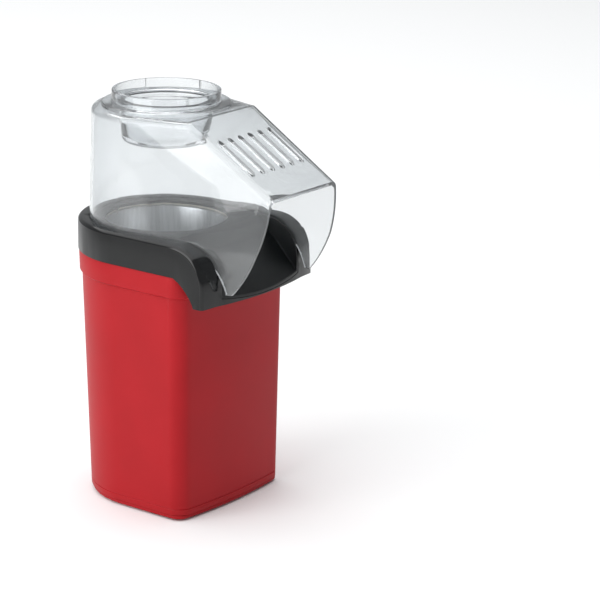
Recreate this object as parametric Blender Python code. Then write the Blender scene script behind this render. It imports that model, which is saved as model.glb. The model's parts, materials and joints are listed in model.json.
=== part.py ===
"""Hot-air popcorn maker: tapered body, black collar with chute, clear hood, fan, motor and heater.

Design values are millimetres from the chamber axis (x = y = 0), front at -Y, floor at z = 0.
Meshes are written in metres, and one empty moves the whole assembly so that its box is centred.
"""
import math

import bmesh
import bpy
from mathutils import Matrix, Vector

MM = 0.001
GAP = 0.3                 # between two pieces that touch on the real object

# ---- overall sizes ----
TOTAL_HEIGHT = 290.0
HOOD_REACH = 119.0        # chamber axis to the hood's front lip
COLLAR_HALF_WIDTH = 62.0
BODY_BOTTOM_HALF_WIDTH = 57.3
BODY_TOP_HALF_WIDTH = 60.0
BODY_BOTTOM_FRONT = 63.4  # chamber axis to the front of the body, at the floor
BODY_TOP_FRONT = 65.0
BODY_LEAN_BACK = 5.0      # how far the rear arc's centre moves forward at the floor
BAND_PROUD = 1.0
COLLAR_EDGE_HEIGHT = 177.5
BAND_HEIGHT = 15.5        # the body's upper band, below the collar's edge
CROWN_HEIGHT = 197.3      # the hood's lower edge beside the chamber
FRONT_BOW = 4.5           # how far the front face bulges between its corners
CORNER = 9.0
COLLAR_CORNER = 14.0

# ---- walls and clearances ----
SHELL_WALL = 2.5
COLLAR_WALL = 2.6
TRAY_WALL = 2.0
HOOD_WALL = 2.2
CUP_WALL = 1.6
SHEET = 1.0               # pressed aluminium and steel
RUN_CLEARANCE = 0.5       # round a piece that lifts or turns

# ---- base ----
FOOT_HEIGHT = 1.2
FOOT_RADIUS = 6.0
STEM_RADIUS = 2.0
BASE_THICKNESS = 2.6
BASE_INSET = 0.7
INTAKE_SLIT = 2.6
INTAKE_PITCH = 6.0
INTAKE_LENGTH = 46.0
INTAKE_COUNT = 7
SCREW_RADIUS = 1.5
SCREW_HEAD_RADIUS = 3.0
SCREW_HEAD_HEIGHT = 1.8
BOSS_RADIUS = 4.5
BOSS_HEIGHT = 16.0

# ---- chamber, heater and fan ----
MOUTH_MARGIN = 11.0       # hood's outside to the chamber's mouth
MOUTH_OVERHANG = 1.0      # the mouth is wider than the chamber below it
FLANGE_WIDTH = 3.0
CHAMBER_DEPTH = 78.0
LOUVRE_COUNT = 12
AIR_JACKET = 6.0          # chamber's outside to the heater can's outside
CAN_BOTTOM = 74.0
CAN_EAR_HEIGHT = 150.0
COIL_MARGIN = 11.0        # can's outside to the middle of the coil's wire
COIL_WIRE = 0.8
COIL_TURNS = 6
COIL_SIDES = 14           # straight pieces in each turn
MICA_HEADROOM = 7.0       # mica boards to the chamber above them
MICA_THICKNESS = 1.0
FAN_DEPTH = 26.0
IMPELLER_MARGIN = 10.0    # can's outside to the impeller's rim
IMPELLER_HEIGHT = 15.0
BLADE_COUNT = 10
MOTOR_RADIUS = 14.0
MOTOR_HEIGHT = 30.0
SHAFT_RADIUS = 1.2

# ---- hood and cup ----
HOOD_RADIUS = 54.0
HOOD_TOP_RADIUS = 52.0
HOOD_SIDE_TAPER = 0.1     # half-width lost for each millimetre forward
HOOD_LEAN = 9.0           # extra half-width lost at the top of the front part
CREASE_REACH = 48.8       # chamber axis to the crease between top and sloping roof
LIP_HEIGHT = 236.4
TIP_REACH = 92.0          # chamber axis to the lowest tip of the hood's mouth
TIP_DROP = 12.0           # the tip is this far below the collar's edge
RING_RADIUS = 38.0
RING_WALL = 2.4
RING_HEIGHT = 11.0
PLINTH_RADIUS = 45.0
PLINTH_HEIGHT = 2.5
CUP_DEPTH = 28.0
VENT_COUNT = 6
VENT_PITCH = 10.8
VENT_WIDTH = 4.3
VENT_REACH = (67.5, 98.0)

# ---- chute ----
CHUTE_START = 46.5        # chamber axis to where the deck starts to slope
CHUTE_SLOPE = 0.9
CHUTE_REACH = 88.0
LEDGE_OVERLAP = 1.3       # how far the tray's rim rests on the collar

# ---- rear fittings ----
PAD_HALF_WIDTH = 18.0
PAD_BOTTOM = 8.0
PAD_TOP = 47.0
PAD_WALL = 2.9
SWITCH_WIDTH = 12.8
SWITCH_HEIGHT = 18.6
SWITCH_DEPTH = 13.0
SWITCH_CENTRE = 34.0
GLAND_CENTRE = 15.5
GLAND_RADIUS = 5.0
CORD_BORE = 3.6

# ---- how finely round shapes are drawn ----
REAR_SIDES = 20           # in each half-round rear
LARGE_SIDES = 40
MEDIUM_SIDES = 24
SMALL_SIDES = 12

# ---- worked out from the sizes above ----
STEP_HEIGHT = COLLAR_EDGE_HEIGHT - BAND_HEIGHT
TIP_HEIGHT = COLLAR_EDGE_HEIGHT - TIP_DROP
MOUTH_RADIUS = HOOD_RADIUS - MOUTH_MARGIN
CHAMBER_RADIUS = MOUTH_RADIUS - MOUTH_OVERHANG
CAN_RADIUS = CHAMBER_RADIUS + AIR_JACKET
COIL_RADIUS = CAN_RADIUS - COIL_MARGIN
IMPELLER_RADIUS = CAN_RADIUS - IMPELLER_MARGIN
BASE_BOTTOM = FOOT_HEIGHT + GAP
BASE_TOP = BASE_BOTTOM + BASE_THICKNESS
SHELL_BOTTOM = BASE_TOP + GAP
HOOD_TOP = TOTAL_HEIGHT - RING_HEIGHT
DECK_TOP = CROWN_HEIGHT + TRAY_WALL
CREST_HEIGHT = CROWN_HEIGHT + 2.7
PAD_FACE = -BODY_LEAN_BACK + math.sqrt(BODY_BOTTOM_HALF_WIDTH ** 2 - PAD_HALF_WIDTH ** 2)
FLANGE_TOP = CROWN_HEIGHT - GAP
CHAMBER_BOTTOM = FLANGE_TOP - CHAMBER_DEPTH
FAN_BOTTOM = CAN_BOTTOM - GAP - FAN_DEPTH
MOTOR_TOP = FAN_BOTTOM - GAP
MOTOR_BOTTOM = MOTOR_TOP - MOTOR_HEIGHT
MICA_BOTTOM = CAN_BOTTOM + 6.0
MICA_HEIGHT = CHAMBER_BOTTOM - MICA_HEADROOM - MICA_BOTTOM
COIL_PITCH = (MICA_HEIGHT - 6.0) / COIL_TURNS
FRONT_CENTRE = CHUTE_START + 2.5
AXIS_OFFSET = (HOOD_REACH - COLLAR_HALF_WIDTH) / 2.0
TALL = TOTAL_HEIGHT + 60.0
WIDE = COLLAR_HALF_WIDTH + 20.0


# ---------------------------------------------------------------- materials
def srgb_to_linear(value):
    return value / 12.92 if value <= 0.04045 else ((value + 0.055) / 1.055) ** 2.4


def material(name, colour, roughness, metallic=0.0, alpha=1.0):
    """A Principled material from an sRGB hex colour."""
    made = bpy.data.materials.get(name)
    if made:
        return made
    made = bpy.data.materials.new(name)
    made.use_nodes = True
    shader = made.node_tree.nodes["Principled BSDF"]
    rgb = [srgb_to_linear(int(colour[i:i + 2], 16) / 255.0) for i in (0, 2, 4)]
    shader.inputs["Base Color"].default_value = (*rgb, 1.0)
    shader.inputs["Roughness"].default_value = roughness
    shader.inputs["Metallic"].default_value = metallic
    shader.inputs["Alpha"].default_value = alpha
    made.diffuse_color = (*rgb, alpha)
    return made


def red_plastic():
    return material("red_plastic", "C23E43", 0.42)


def black_plastic():
    return material("black_plastic", "26282A", 0.3)


def clear_plastic():
    return material("clear_plastic", "E6EAEC", 0.06, alpha=0.35)


def aluminium():
    return material("aluminium", "C9CBCD", 0.35, 1.0)


def steel():
    return material("steel", "A9ABAD", 0.38, 1.0)


def rubber():
    return material("rubber", "1B1B1B", 0.8)


def mica():
    return material("mica", "B79B6B", 0.55)


def wire_metal():
    return material("wire_metal", "6E6A66", 0.5, 1.0)


def bronze():
    return material("bronze", "A9814A", 0.4, 1.0)


def ferrite():
    return material("ferrite", "3A3A3C", 0.7)


def board_green():
    return material("board_green", "2F6B45", 0.5)


def seal_fibre():
    return material("seal_fibre", "D9D4C8", 0.85)


def lead_insulation():
    return material("lead_insulation", "E8E4DA", 0.6)


# ---------------------------------------------------------------- mesh helpers
ASSEMBLY = None


def new_object(name, bm, finish, smooth_angle=32.0, origin=(0.0, 0.0, 0.0)):
    """Turn a bmesh in millimetres into an object whose origin is at the given point."""
    start = Vector(origin)
    for vertex in bm.verts:
        vertex.co = (vertex.co - start) * MM
    mesh = bpy.data.meshes.new(name)
    bm.to_mesh(mesh)
    bm.free()
    mesh.shade_smooth()
    mesh.set_sharp_from_angle(angle=math.radians(smooth_angle))
    made = bpy.data.objects.new(name, mesh)
    bpy.context.scene.collection.objects.link(made)
    made.parent = ASSEMBLY
    made.location = start * MM
    if finish:
        mesh.materials.append(finish)
    else:
        made.hide_render = True
        made.display_type = 'WIRE'
    return made


def loft(sections):
    """A closed solid through loops of equal length, each a list of (x, y, z), lowest first."""
    bm = bmesh.new()
    rings = [[bm.verts.new(point) for point in loop] for loop in sections]
    count = len(rings[0])
    for low, high in zip(rings, rings[1:]):
        for i in range(count):
            j = (i + 1) % count
            bm.faces.new((low[i], low[j], high[j], high[i]))
    bm.faces.new(list(reversed(rings[0])))
    bm.faces.new(rings[-1])
    return bm


def tube(outer, inner):
    """An open-ended wall between two lofts that share their heights."""
    bm = bmesh.new()
    shells = [[[bm.verts.new(point) for point in loop] for loop in side] for side in (outer, inner)]
    count = len(outer[0])
    for side, rings in enumerate(shells):
        for low, high in zip(rings, rings[1:]):
            for i in range(count):
                j = (i + 1) % count
                face = (low[i], low[j], high[j], high[i])
                bm.faces.new(face if side == 0 else tuple(reversed(face)))
    for end in (0, -1):
        for i in range(count):
            j = (i + 1) % count
            out, into = shells[0][end], shells[1][end]
            face = (out[j], out[i], into[i], into[j])
            bm.faces.new(face if end == 0 else tuple(reversed(face)))
    return bm


def turned(profile, segments=LARGE_SIDES, centre=(0.0, 0.0)):
    """Turn a closed (radius, z) profile round a vertical axis; radius 0 closes on the axis."""
    bm = bmesh.new()
    rings = []
    for radius, z in profile:
        if radius == 0.0:
            rings.append([bm.verts.new((centre[0], centre[1], z))] * segments)
            continue
        ring = []
        for i in range(segments):
            angle = 2.0 * math.pi * i / segments
            x = centre[0] + radius * math.cos(angle)
            y = centre[1] + radius * math.sin(angle)
            ring.append(bm.verts.new((x, y, z)))
        rings.append(ring)
    for k, first in enumerate(rings):
        second = rings[(k + 1) % len(rings)]
        for i in range(segments):
            j = (i + 1) % segments
            corners = []
            for vertex in (first[i], first[j], second[j], second[i]):
                if vertex not in corners:
                    corners.append(vertex)
            if len(corners) > 2:
                bm.faces.new(corners)
    bmesh.ops.recalc_face_normals(bm, faces=bm.faces)
    return bm


def prism(outline, bottom, top):
    """A vertical prism from (x, y) points that run anticlockwise from above."""
    return loft([[(x, y, z) for x, y in outline] for z in (bottom, top)])


def side_prism(outline, half_width=WIDE):
    """A prism across the whole width from (y, z) points, in either turning direction."""
    bm = loft([[(x, y, z) for y, z in outline] for x in (-half_width, half_width)])
    bmesh.ops.recalc_face_normals(bm, faces=bm.faces)
    return bm


def box(low, high):
    corners = [(low[0], low[1]), (high[0], low[1]), (high[0], high[1]), (low[0], high[1])]
    return prism(corners, low[2], high[2])


def joined(*parts):
    """Several bmeshes in one, for a cutter whose bodies don't touch."""
    whole = bmesh.new()
    for part in parts:
        mesh = bpy.data.meshes.new("scratch")
        part.to_mesh(mesh)
        part.free()
        whole.from_mesh(mesh)
        bpy.data.meshes.remove(mesh)
    return whole


def placed(bm, matrix):
    bmesh.ops.transform(bm, matrix=matrix, verts=bm.verts)
    return bm


def combine(target, name, bm, operation):
    """Cut, add or keep the common part of a named helper solid."""
    helper = new_object(f"helper_{target.name}_{name}", bm, None)
    step = target.modifiers.new(name, 'BOOLEAN')
    step.operation = operation
    step.object = helper
    step.solver = 'EXACT'
    return helper


def cut(target, name, bm):
    return combine(target, name, bm, 'DIFFERENCE')


def add(target, name, bm):
    return combine(target, name, bm, 'UNION')


def keep(target, name, bm):
    return combine(target, name, bm, 'INTERSECT')


# ---------------------------------------------------------------- shared outlines
def body_outline(half_width, front, corner, rear_centre=0.0):
    """Plan of the body: round rear, straight sides, rounded corners, bowed front."""
    points = []
    for i in range(REAR_SIDES + 1):
        angle = math.pi * i / REAR_SIDES
        x = half_width * math.cos(angle)
        points.append((x, rear_centre + half_width * math.sin(angle)))
    bow = (half_width ** 2 + FRONT_BOW ** 2) / (2.0 * FRONT_BOW)
    corner_x = half_width - corner
    corner_y = -front + bow - math.sqrt((bow - corner) ** 2 - corner_x ** 2)
    turn = math.acos(corner_x / (bow - corner))
    arc = []
    for i in range(7):
        angle = turn * i / 6
        arc.append((corner_x + corner * math.cos(angle), corner_y - corner * math.sin(angle)))
    front_arc = []
    for i in range(1, 8):
        x = arc[-1][0] * (1.0 - i / 4.0)
        front_arc.append((x, -front + bow - math.sqrt(bow ** 2 - x ** 2)))
    points += [(-x, y) for x, y in arc]
    points += [(-x, y) for x, y in front_arc]
    points += list(reversed(arc))
    return points


def body_sections(inset):
    """The body's outline at its main heights, moved inwards by the given amount."""
    band = BODY_TOP_HALF_WIDTH + BAND_PROUD
    levels = [
        (SHELL_BOTTOM, BODY_BOTTOM_HALF_WIDTH, BODY_BOTTOM_FRONT, -BODY_LEAN_BACK),
        (STEP_HEIGHT - 1.0, BODY_TOP_HALF_WIDTH, BODY_TOP_FRONT, 0.0),
        (STEP_HEIGHT + 1.5, band, BODY_TOP_FRONT + BAND_PROUD, 0.0),
        (COLLAR_EDGE_HEIGHT + 4.0, band, BODY_TOP_FRONT + BAND_PROUD, 0.0),
    ]
    sections = []
    for z, half_width, front, rear in levels:
        outline = body_outline(half_width - inset, front - inset, CORNER - inset, rear)
        sections.append([(x, y, z) for x, y in outline])
    return sections


def collar_lower_edge(offset=0.0):
    """(y, z) points of the collar's lower edge from rear to front, raised by an offset."""
    drop_start = BODY_TOP_FRONT - 11.0
    reach = CHUTE_REACH - 8.0
    low = COLLAR_EDGE_HEIGHT - 20.0
    points = [(WIDE, COLLAR_EDGE_HEIGHT), (-drop_start, COLLAR_EDGE_HEIGHT)]
    points += [(-drop_start - 4.0, COLLAR_EDGE_HEIGHT - 1.8), (-reach + 6.0, low + 2.2)]
    points += [(-reach, low), (-TIP_REACH - 20.0, low)]
    return [(y, z + offset) for y, z in points]


def crown_curve(reach, height, offset=0.0, bulge=2.0):
    """(y, z) points over the chute's cheeks: level at the rear, a quarter-round at the front."""
    floor = COLLAR_EDGE_HEIGHT - 20.0
    points = [(WIDE, height + offset)]
    for i in range(13):
        angle = 0.5 * math.pi * (1.0 - i / 12.0)
        along = math.cos(angle) ** (2.0 / bulge)
        up = math.sin(angle) ** (2.0 / bulge)
        y = -FRONT_CENTRE - (reach - FRONT_CENTRE) * along
        points.append((y - offset * along, floor + (height - floor + offset) * up))
    return points


def funnel_outline(radius, front=TIP_REACH + 40.0):
    """Plan shared by hood, tray and their seats: round rear, sides that converge forwards."""
    points = []
    for i in range(REAR_SIDES + 1):
        angle = math.pi * i / REAR_SIDES
        points.append((radius * math.cos(angle), radius * math.sin(angle)))
    narrow = radius - HOOD_SIDE_TAPER * front
    points += [(-narrow, -front), (narrow, -front)]
    return points


def chute_line(offset=0.0):
    """(y, z) points of the deck and chute floor, raised by an offset, from rear to front."""
    far = TIP_REACH + 20.0
    drop = (far - CHUTE_START) * CHUTE_SLOPE
    return [(WIDE, DECK_TOP + offset), (-CHUTE_START, DECK_TOP + offset), (-far, DECK_TOP - drop + offset)]


# ---------------------------------------------------------------- base and body
def screw_spots():
    side = BODY_BOTTOM_HALF_WIDTH - 6.3
    rear_angle = math.radians(39.0)
    rear = (side * math.cos(rear_angle), side * math.sin(rear_angle) - BODY_LEAN_BACK)
    front = (side, -BODY_BOTTOM_FRONT + 18.0)
    return [front, (-front[0], front[1]), rear, (-rear[0], rear[1])]


def foot_spots():
    front = (0.66 * BODY_BOTTOM_HALF_WIDTH, -BODY_BOTTOM_FRONT + 15.0)
    rear = (0.45 * BODY_BOTTOM_HALF_WIDTH, 0.59 * BODY_BOTTOM_HALF_WIDTH)
    return [front, (-front[0], front[1]), rear, (-rear[0], rear[1])]


def slit_cutter():
    """Air-intake slits side by side under the motor."""
    slits = []
    for i in range(INTAKE_COUNT):
        x = (i - (INTAKE_COUNT - 1) / 2.0) * INTAKE_PITCH
        low = (x - INTAKE_SLIT / 2.0, -INTAKE_LENGTH / 2.0, BASE_BOTTOM - 1.0)
        high = (x + INTAKE_SLIT / 2.0, INTAKE_LENGTH / 2.0, BASE_TOP + 1.0)
        slits.append(box(low, high))
    return joined(*slits)


def build_base():
    outline = body_outline(BODY_BOTTOM_HALF_WIDTH - BASE_INSET, BODY_BOTTOM_FRONT - BASE_INSET,
                           CORNER - BASE_INSET, -BODY_LEAN_BACK)
    plate = new_object("base_plate", prism(outline, BASE_BOTTOM, BASE_TOP), red_plastic())
    cut(plate, "intake", slit_cutter())
    holes = []
    for spot in screw_spots():
        shank, head = SCREW_RADIUS + GAP, SCREW_HEAD_RADIUS + GAP
        step = BASE_BOTTOM + SCREW_HEAD_HEIGHT * 0.8
        profile = [(0.0, BASE_BOTTOM - 1.0), (head, BASE_BOTTOM - 1.0), (head, step),
                   (shank, step), (shank, BASE_TOP + 1.0), (0.0, BASE_TOP + 1.0)]
        holes.append(turned(profile, SMALL_SIDES, spot))
    for spot in foot_spots():
        radius = STEM_RADIUS + GAP
        profile = [(0.0, BASE_BOTTOM - 1.0), (radius, BASE_BOTTOM - 1.0),
                   (radius, BASE_TOP + 1.0), (0.0, BASE_TOP + 1.0)]
        holes.append(turned(profile, SMALL_SIDES, spot))
    cut(plate, "holes", joined(*holes))

    for i, spot in enumerate(foot_spots()):
        bulb = STEM_RADIUS + 1.2
        profile = [(0.0, 0.0), (FOOT_RADIUS - 0.6, 0.0), (FOOT_RADIUS, 0.5),
                   (FOOT_RADIUS, FOOT_HEIGHT), (STEM_RADIUS, FOOT_HEIGHT),
                   (STEM_RADIUS, BASE_TOP + GAP), (bulb, BASE_TOP + GAP),
                   (bulb - 0.8, BASE_TOP + 2.5), (0.0, BASE_TOP + 3.2)]
        new_object(f"foot_{i + 1}", turned(profile, SMALL_SIDES, spot), rubber())

    for i, spot in enumerate(screw_spots()):
        new_object(f"base_screw_{i + 1}", pan_screw(spot, BASE_BOTTOM + 0.8 * SCREW_HEAD_HEIGHT - GAP,
                                                    12.0, up=True), steel())


def pan_screw(spot, seat, length, up):
    """A pan-head screw standing on its seat; its shank points up or down."""
    way = 1.0 if up else -1.0
    head = seat - way * SCREW_HEAD_HEIGHT * 0.75
    profile = [(0.0, head), (SCREW_HEAD_RADIUS - 0.6, head), (SCREW_HEAD_RADIUS, head + way * 0.5),
               (SCREW_HEAD_RADIUS, seat), (SCREW_RADIUS, seat),
               (SCREW_RADIUS, seat + way * (length - 1.0)), (0.0, seat + way * length)]
    bm = turned(profile, SMALL_SIDES, spot)
    return bm


def build_body():
    shell = new_object("body_shell", tube(body_sections(0.0), body_sections(SHELL_WALL)),
                       red_plastic(), 24.0)
    top = [(y, z) for y, z in collar_lower_edge(-GAP)]
    cut(shell, "collar_line", side_prism(top + [(top[-1][0], TALL), (WIDE, TALL)]))
    for i, spot in enumerate(screw_spots()):
        profile = [(0.0, SHELL_BOTTOM), (BOSS_RADIUS, SHELL_BOTTOM),
                   (BOSS_RADIUS, SHELL_BOTTOM + BOSS_HEIGHT), (0.0, SHELL_BOTTOM + BOSS_HEIGHT)]
        add(shell, f"boss_{i + 1}", turned(profile, SMALL_SIDES, spot))
    bores = []
    for spot in screw_spots():
        radius = SCREW_RADIUS + GAP
        profile = [(0.0, SHELL_BOTTOM - 1.0), (radius, SHELL_BOTTOM - 1.0),
                   (radius, SHELL_BOTTOM + BOSS_HEIGHT - 3.0), (0.0, SHELL_BOTTOM + BOSS_HEIGHT - 3.0)]
        bores.append(turned(profile, SMALL_SIDES, spot))
    cut(shell, "screw_bores", joined(*bores))
    add(shell, "rear_pad", loft([pad_section(z) for z in (PAD_BOTTOM - 2.0, PAD_TOP + 2.0)]))
    reach = PAD_FACE + 20.0
    cut(shell, "rear_flat", box((-WIDE, PAD_FACE, PAD_BOTTOM), (WIDE, reach, PAD_TOP)))
    half_w, half_h = SWITCH_WIDTH / 2.0 + GAP, SWITCH_HEIGHT / 2.0 + GAP
    window = box((-half_w, PAD_FACE - 10.0, SWITCH_CENTRE - half_h),
                 (half_w, reach, SWITCH_CENTRE + half_h))
    cut(shell, "switch_window", window)
    hole = turned([(0.0, -12.0), (GLAND_RADIUS + GAP, -12.0), (GLAND_RADIUS + GAP, 20.0), (0.0, 20.0)], MEDIUM_SIDES)
    cut(shell, "gland_hole", placed(hole, rear_facing(GLAND_CENTRE)))


def pad_section(z):
    """Level outline of the block behind the flat pad, reaching into the middle of the rear wall."""
    share = (z - SHELL_BOTTOM) / (STEP_HEIGHT - 1.0 - SHELL_BOTTOM)
    middle = BODY_BOTTOM_HALF_WIDTH + (BODY_TOP_HALF_WIDTH - BODY_BOTTOM_HALF_WIDTH) * share
    middle -= SHELL_WALL / 2.0
    centre = -BODY_LEAN_BACK * (1.0 - share)
    edge = PAD_HALF_WIDTH + 1.5
    points = [(-edge, PAD_FACE - PAD_WALL, z), (edge, PAD_FACE - PAD_WALL, z)]
    for i in range(9):
        x = edge * (1.0 - i / 4.0)
        points.append((x, centre + math.sqrt(middle ** 2 - x ** 2), z))
    return points


def rear_facing(height):
    """Lay a turned piece so that its +Z points out of the rear pad, with z = 0 on the pad."""
    return Matrix.Translation((0.0, PAD_FACE, height)) @ Matrix.Rotation(math.radians(-90.0), 4, 'X')


# ---------------------------------------------------------------- collar and tray
def build_collar():
    outline = body_outline(COLLAR_HALF_WIDTH, CHUTE_REACH, COLLAR_CORNER)
    low = COLLAR_EDGE_HEIGHT - 25.0
    collar = new_object("collar", prism(outline, low, CREST_HEIGHT + 6.0), black_plastic(), 28.0)
    lower = collar_lower_edge()
    crest = crown_curve(CHUTE_REACH + 2.0, CREST_HEIGHT, bulge=2.3)
    keep(collar, "side_shape", side_prism(lower + list(reversed(crest))))

    inner = body_outline(COLLAR_HALF_WIDTH - COLLAR_WALL, CHUTE_REACH - COLLAR_WALL,
                         COLLAR_CORNER - COLLAR_WALL)
    hollow = new_object("helper_collar_hollow", prism(inner, low - 5.0, CREST_HEIGHT), None)
    roof = crown_curve(CHUTE_REACH - 1.5, CROWN_HEIGHT - 3.2, bulge=2.2)
    keep(hollow, "hollow_shape", side_prism(collar_lower_edge(COLLAR_WALL) + list(reversed(roof))))
    step = collar.modifiers.new("hollow", 'BOOLEAN')
    step.operation = 'DIFFERENCE'
    step.object = hollow
    step.solver = 'EXACT'

    band = BODY_TOP_HALF_WIDTH + BAND_PROUD - SHELL_WALL
    throat = body_outline(band, BODY_TOP_FRONT + BAND_PROUD - SHELL_WALL, CORNER - SHELL_WALL)
    cut(collar, "throat", prism(throat, low - 10.0, CROWN_HEIGHT - 4.2))
    seat = funnel_outline(tray_radius() - LEDGE_OVERLAP)
    cut(collar, "opening", prism(seat, low - 20.0, TALL))
    pocket = new_object("helper_collar_pocket", prism(funnel_outline(tray_radius() + GAP), 0.0, TALL), None)
    under = chute_line(-floor_drop() - GAP)
    keep(pocket, "pocket_shape", side_prism(under + [(under[-1][0], TALL), (WIDE, TALL)]))
    step = collar.modifiers.new("tray_pocket", 'BOOLEAN')
    step.operation = 'DIFFERENCE'
    step.object = pocket
    step.solver = 'EXACT'
    foot = new_object("helper_collar_foot",
                      prism(funnel_outline(HOOD_RADIUS + RUN_CLEARANCE), 0.0, TALL), None)
    crown = crown_curve(hood_bottom_reach(), CROWN_HEIGHT, -GAP)
    keep(foot, "foot_shape", side_prism(crown + [(crown[-1][0], 40.0), (-TIP_REACH - 60.0, 40.0),
                                                 (-TIP_REACH - 60.0, TALL), (WIDE, TALL)]))
    step = collar.modifiers.new("hood_seat", 'BOOLEAN')
    step.operation = 'DIFFERENCE'
    step.object = foot
    step.solver = 'EXACT'

    inside = band - GAP
    for i, (side, y) in enumerate(((-1, -32.0), (1, -32.0), (-1, -4.0), (1, -4.0))):
        outer, inner_x = side * inside, side * (inside - 2.0)
        deep = side * (COLLAR_HALF_WIDTH - 1.0)
        tab = box((min(outer, inner_x), y - 6.0, COLLAR_EDGE_HEIGHT - 12.0),
                  (max(outer, inner_x), y + 6.0, COLLAR_EDGE_HEIGHT + 6.0))
        add(collar, f"tab_{i + 1}", tab)
        web = box((min(deep, inner_x), y - 6.0, COLLAR_EDGE_HEIGHT + 1.0),
                  (max(deep, inner_x), y + 6.0, COLLAR_EDGE_HEIGHT + 6.0))
        add(collar, f"web_{i + 1}", web)


def tray_radius():
    """Radius of the tray's rim, just inside the hood."""
    return HOOD_RADIUS - HOOD_WALL - 2.0 * RUN_CLEARANCE


def floor_drop():
    """Vertical thickness of the deck and chute floor."""
    return TRAY_WALL


def hood_bottom_reach():
    return TIP_REACH - 1.0


def post_spots():
    return [(39.0, -46.0), (-39.0, -46.0)]


def build_tray():
    tray = new_object("chute_tray", prism(funnel_outline(tray_radius()), 100.0, TALL), black_plastic())
    top = crown_curve(hood_bottom_reach() - 2.0, DECK_TOP)
    keep(tray, "top_shape", side_prism(top + [(top[-1][0], 50.0), (WIDE, 50.0)]))
    bottom = chute_line(-floor_drop())
    keep(tray, "floor_shape", side_prism(bottom + [(bottom[-1][0], TALL), (WIDE, TALL)]))
    front = box((-WIDE, -CHUTE_REACH, 0.0), (WIDE, WIDE, TALL))
    keep(tray, "front_end", front)
    floor = chute_line()
    channel = new_object("helper_tray_channel",
                         prism(funnel_outline(tray_radius() - TRAY_WALL), 0.0, TALL), None)
    keep(channel, "channel_shape", side_prism(floor + [(floor[-1][0], TALL), (WIDE, TALL)]))
    step = tray.modifiers.new("channel", 'BOOLEAN')
    step.operation = 'DIFFERENCE'
    step.object = channel
    step.solver = 'EXACT'
    mouth = turned([(0.0, 0.0), (MOUTH_RADIUS, 0.0), (MOUTH_RADIUS, TALL), (0.0, TALL)])
    cut(tray, "mouth", mouth)
    for i, (x, y) in enumerate(post_spots()):
        top_z = DECK_TOP - 1.2 - max(0.0, (-y + 3.5 - CHUTE_START) * CHUTE_SLOPE)
        profile = [(0.0, CAN_EAR_HEIGHT + GAP), (3.6, CAN_EAR_HEIGHT + GAP), (3.6, top_z), (0.0, top_z)]
        add(tray, f"post_{i + 1}", turned(profile, SMALL_SIDES, (x, y)))
    bores = []
    for spot in post_spots():
        radius = SCREW_RADIUS + GAP
        profile = [(0.0, CAN_EAR_HEIGHT - 5.0), (radius, CAN_EAR_HEIGHT - 5.0),
                   (radius, CAN_EAR_HEIGHT + 11.0), (0.0, CAN_EAR_HEIGHT + 11.0)]
        bores.append(turned(profile, SMALL_SIDES, spot))
    cut(tray, "post_bores", joined(*bores))


# ---------------------------------------------------------------- hood and cup
def hood_half_width(z, reach, inset):
    """Half-width of the hood at a height and a distance in front of the chamber axis."""
    share = (z - CROWN_HEIGHT) / (HOOD_TOP - CROWN_HEIGHT)
    radius = HOOD_RADIUS + (HOOD_TOP_RADIUS - HOOD_RADIUS) * share - inset
    lean = HOOD_LEAN * min(1.0, reach / CREASE_REACH) * max(0.0, share)
    return radius - HOOD_SIDE_TAPER * reach - lean


def hood_section(z, front, inset, shrink=0.0):
    """One level outline of the hood, ending at the given reach."""
    radius = hood_half_width(z, 0.0, inset + shrink)
    points = []
    for i in range(REAR_SIDES + 1):
        angle = math.pi * i / REAR_SIDES
        points.append((radius * math.cos(angle), radius * math.sin(angle), z))
    middle = min(CREASE_REACH, front - 2.0)
    stops = (middle / 2.0, middle, (middle + front) / 2.0, front)
    right = [(hood_half_width(z, reach, inset + shrink), -reach, z) for reach in stops]
    points += [(-x, y, z) for x, y, z in right]
    points += list(reversed(right))
    return points


def roof_reach(z, drop=0.0):
    """How far forward the sloping roof is at a height, lowered by a wall thickness."""
    slope = (HOOD_REACH - CREASE_REACH) / (HOOD_TOP - LIP_HEIGHT)
    return CREASE_REACH + (HOOD_TOP - z - drop) * slope


def mouth_reach(z):
    share = (z - TIP_HEIGHT) / (LIP_HEIGHT - TIP_HEIGHT)
    return HOOD_REACH - (HOOD_REACH - TIP_REACH) * (1.0 - share) ** 2.2


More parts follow.
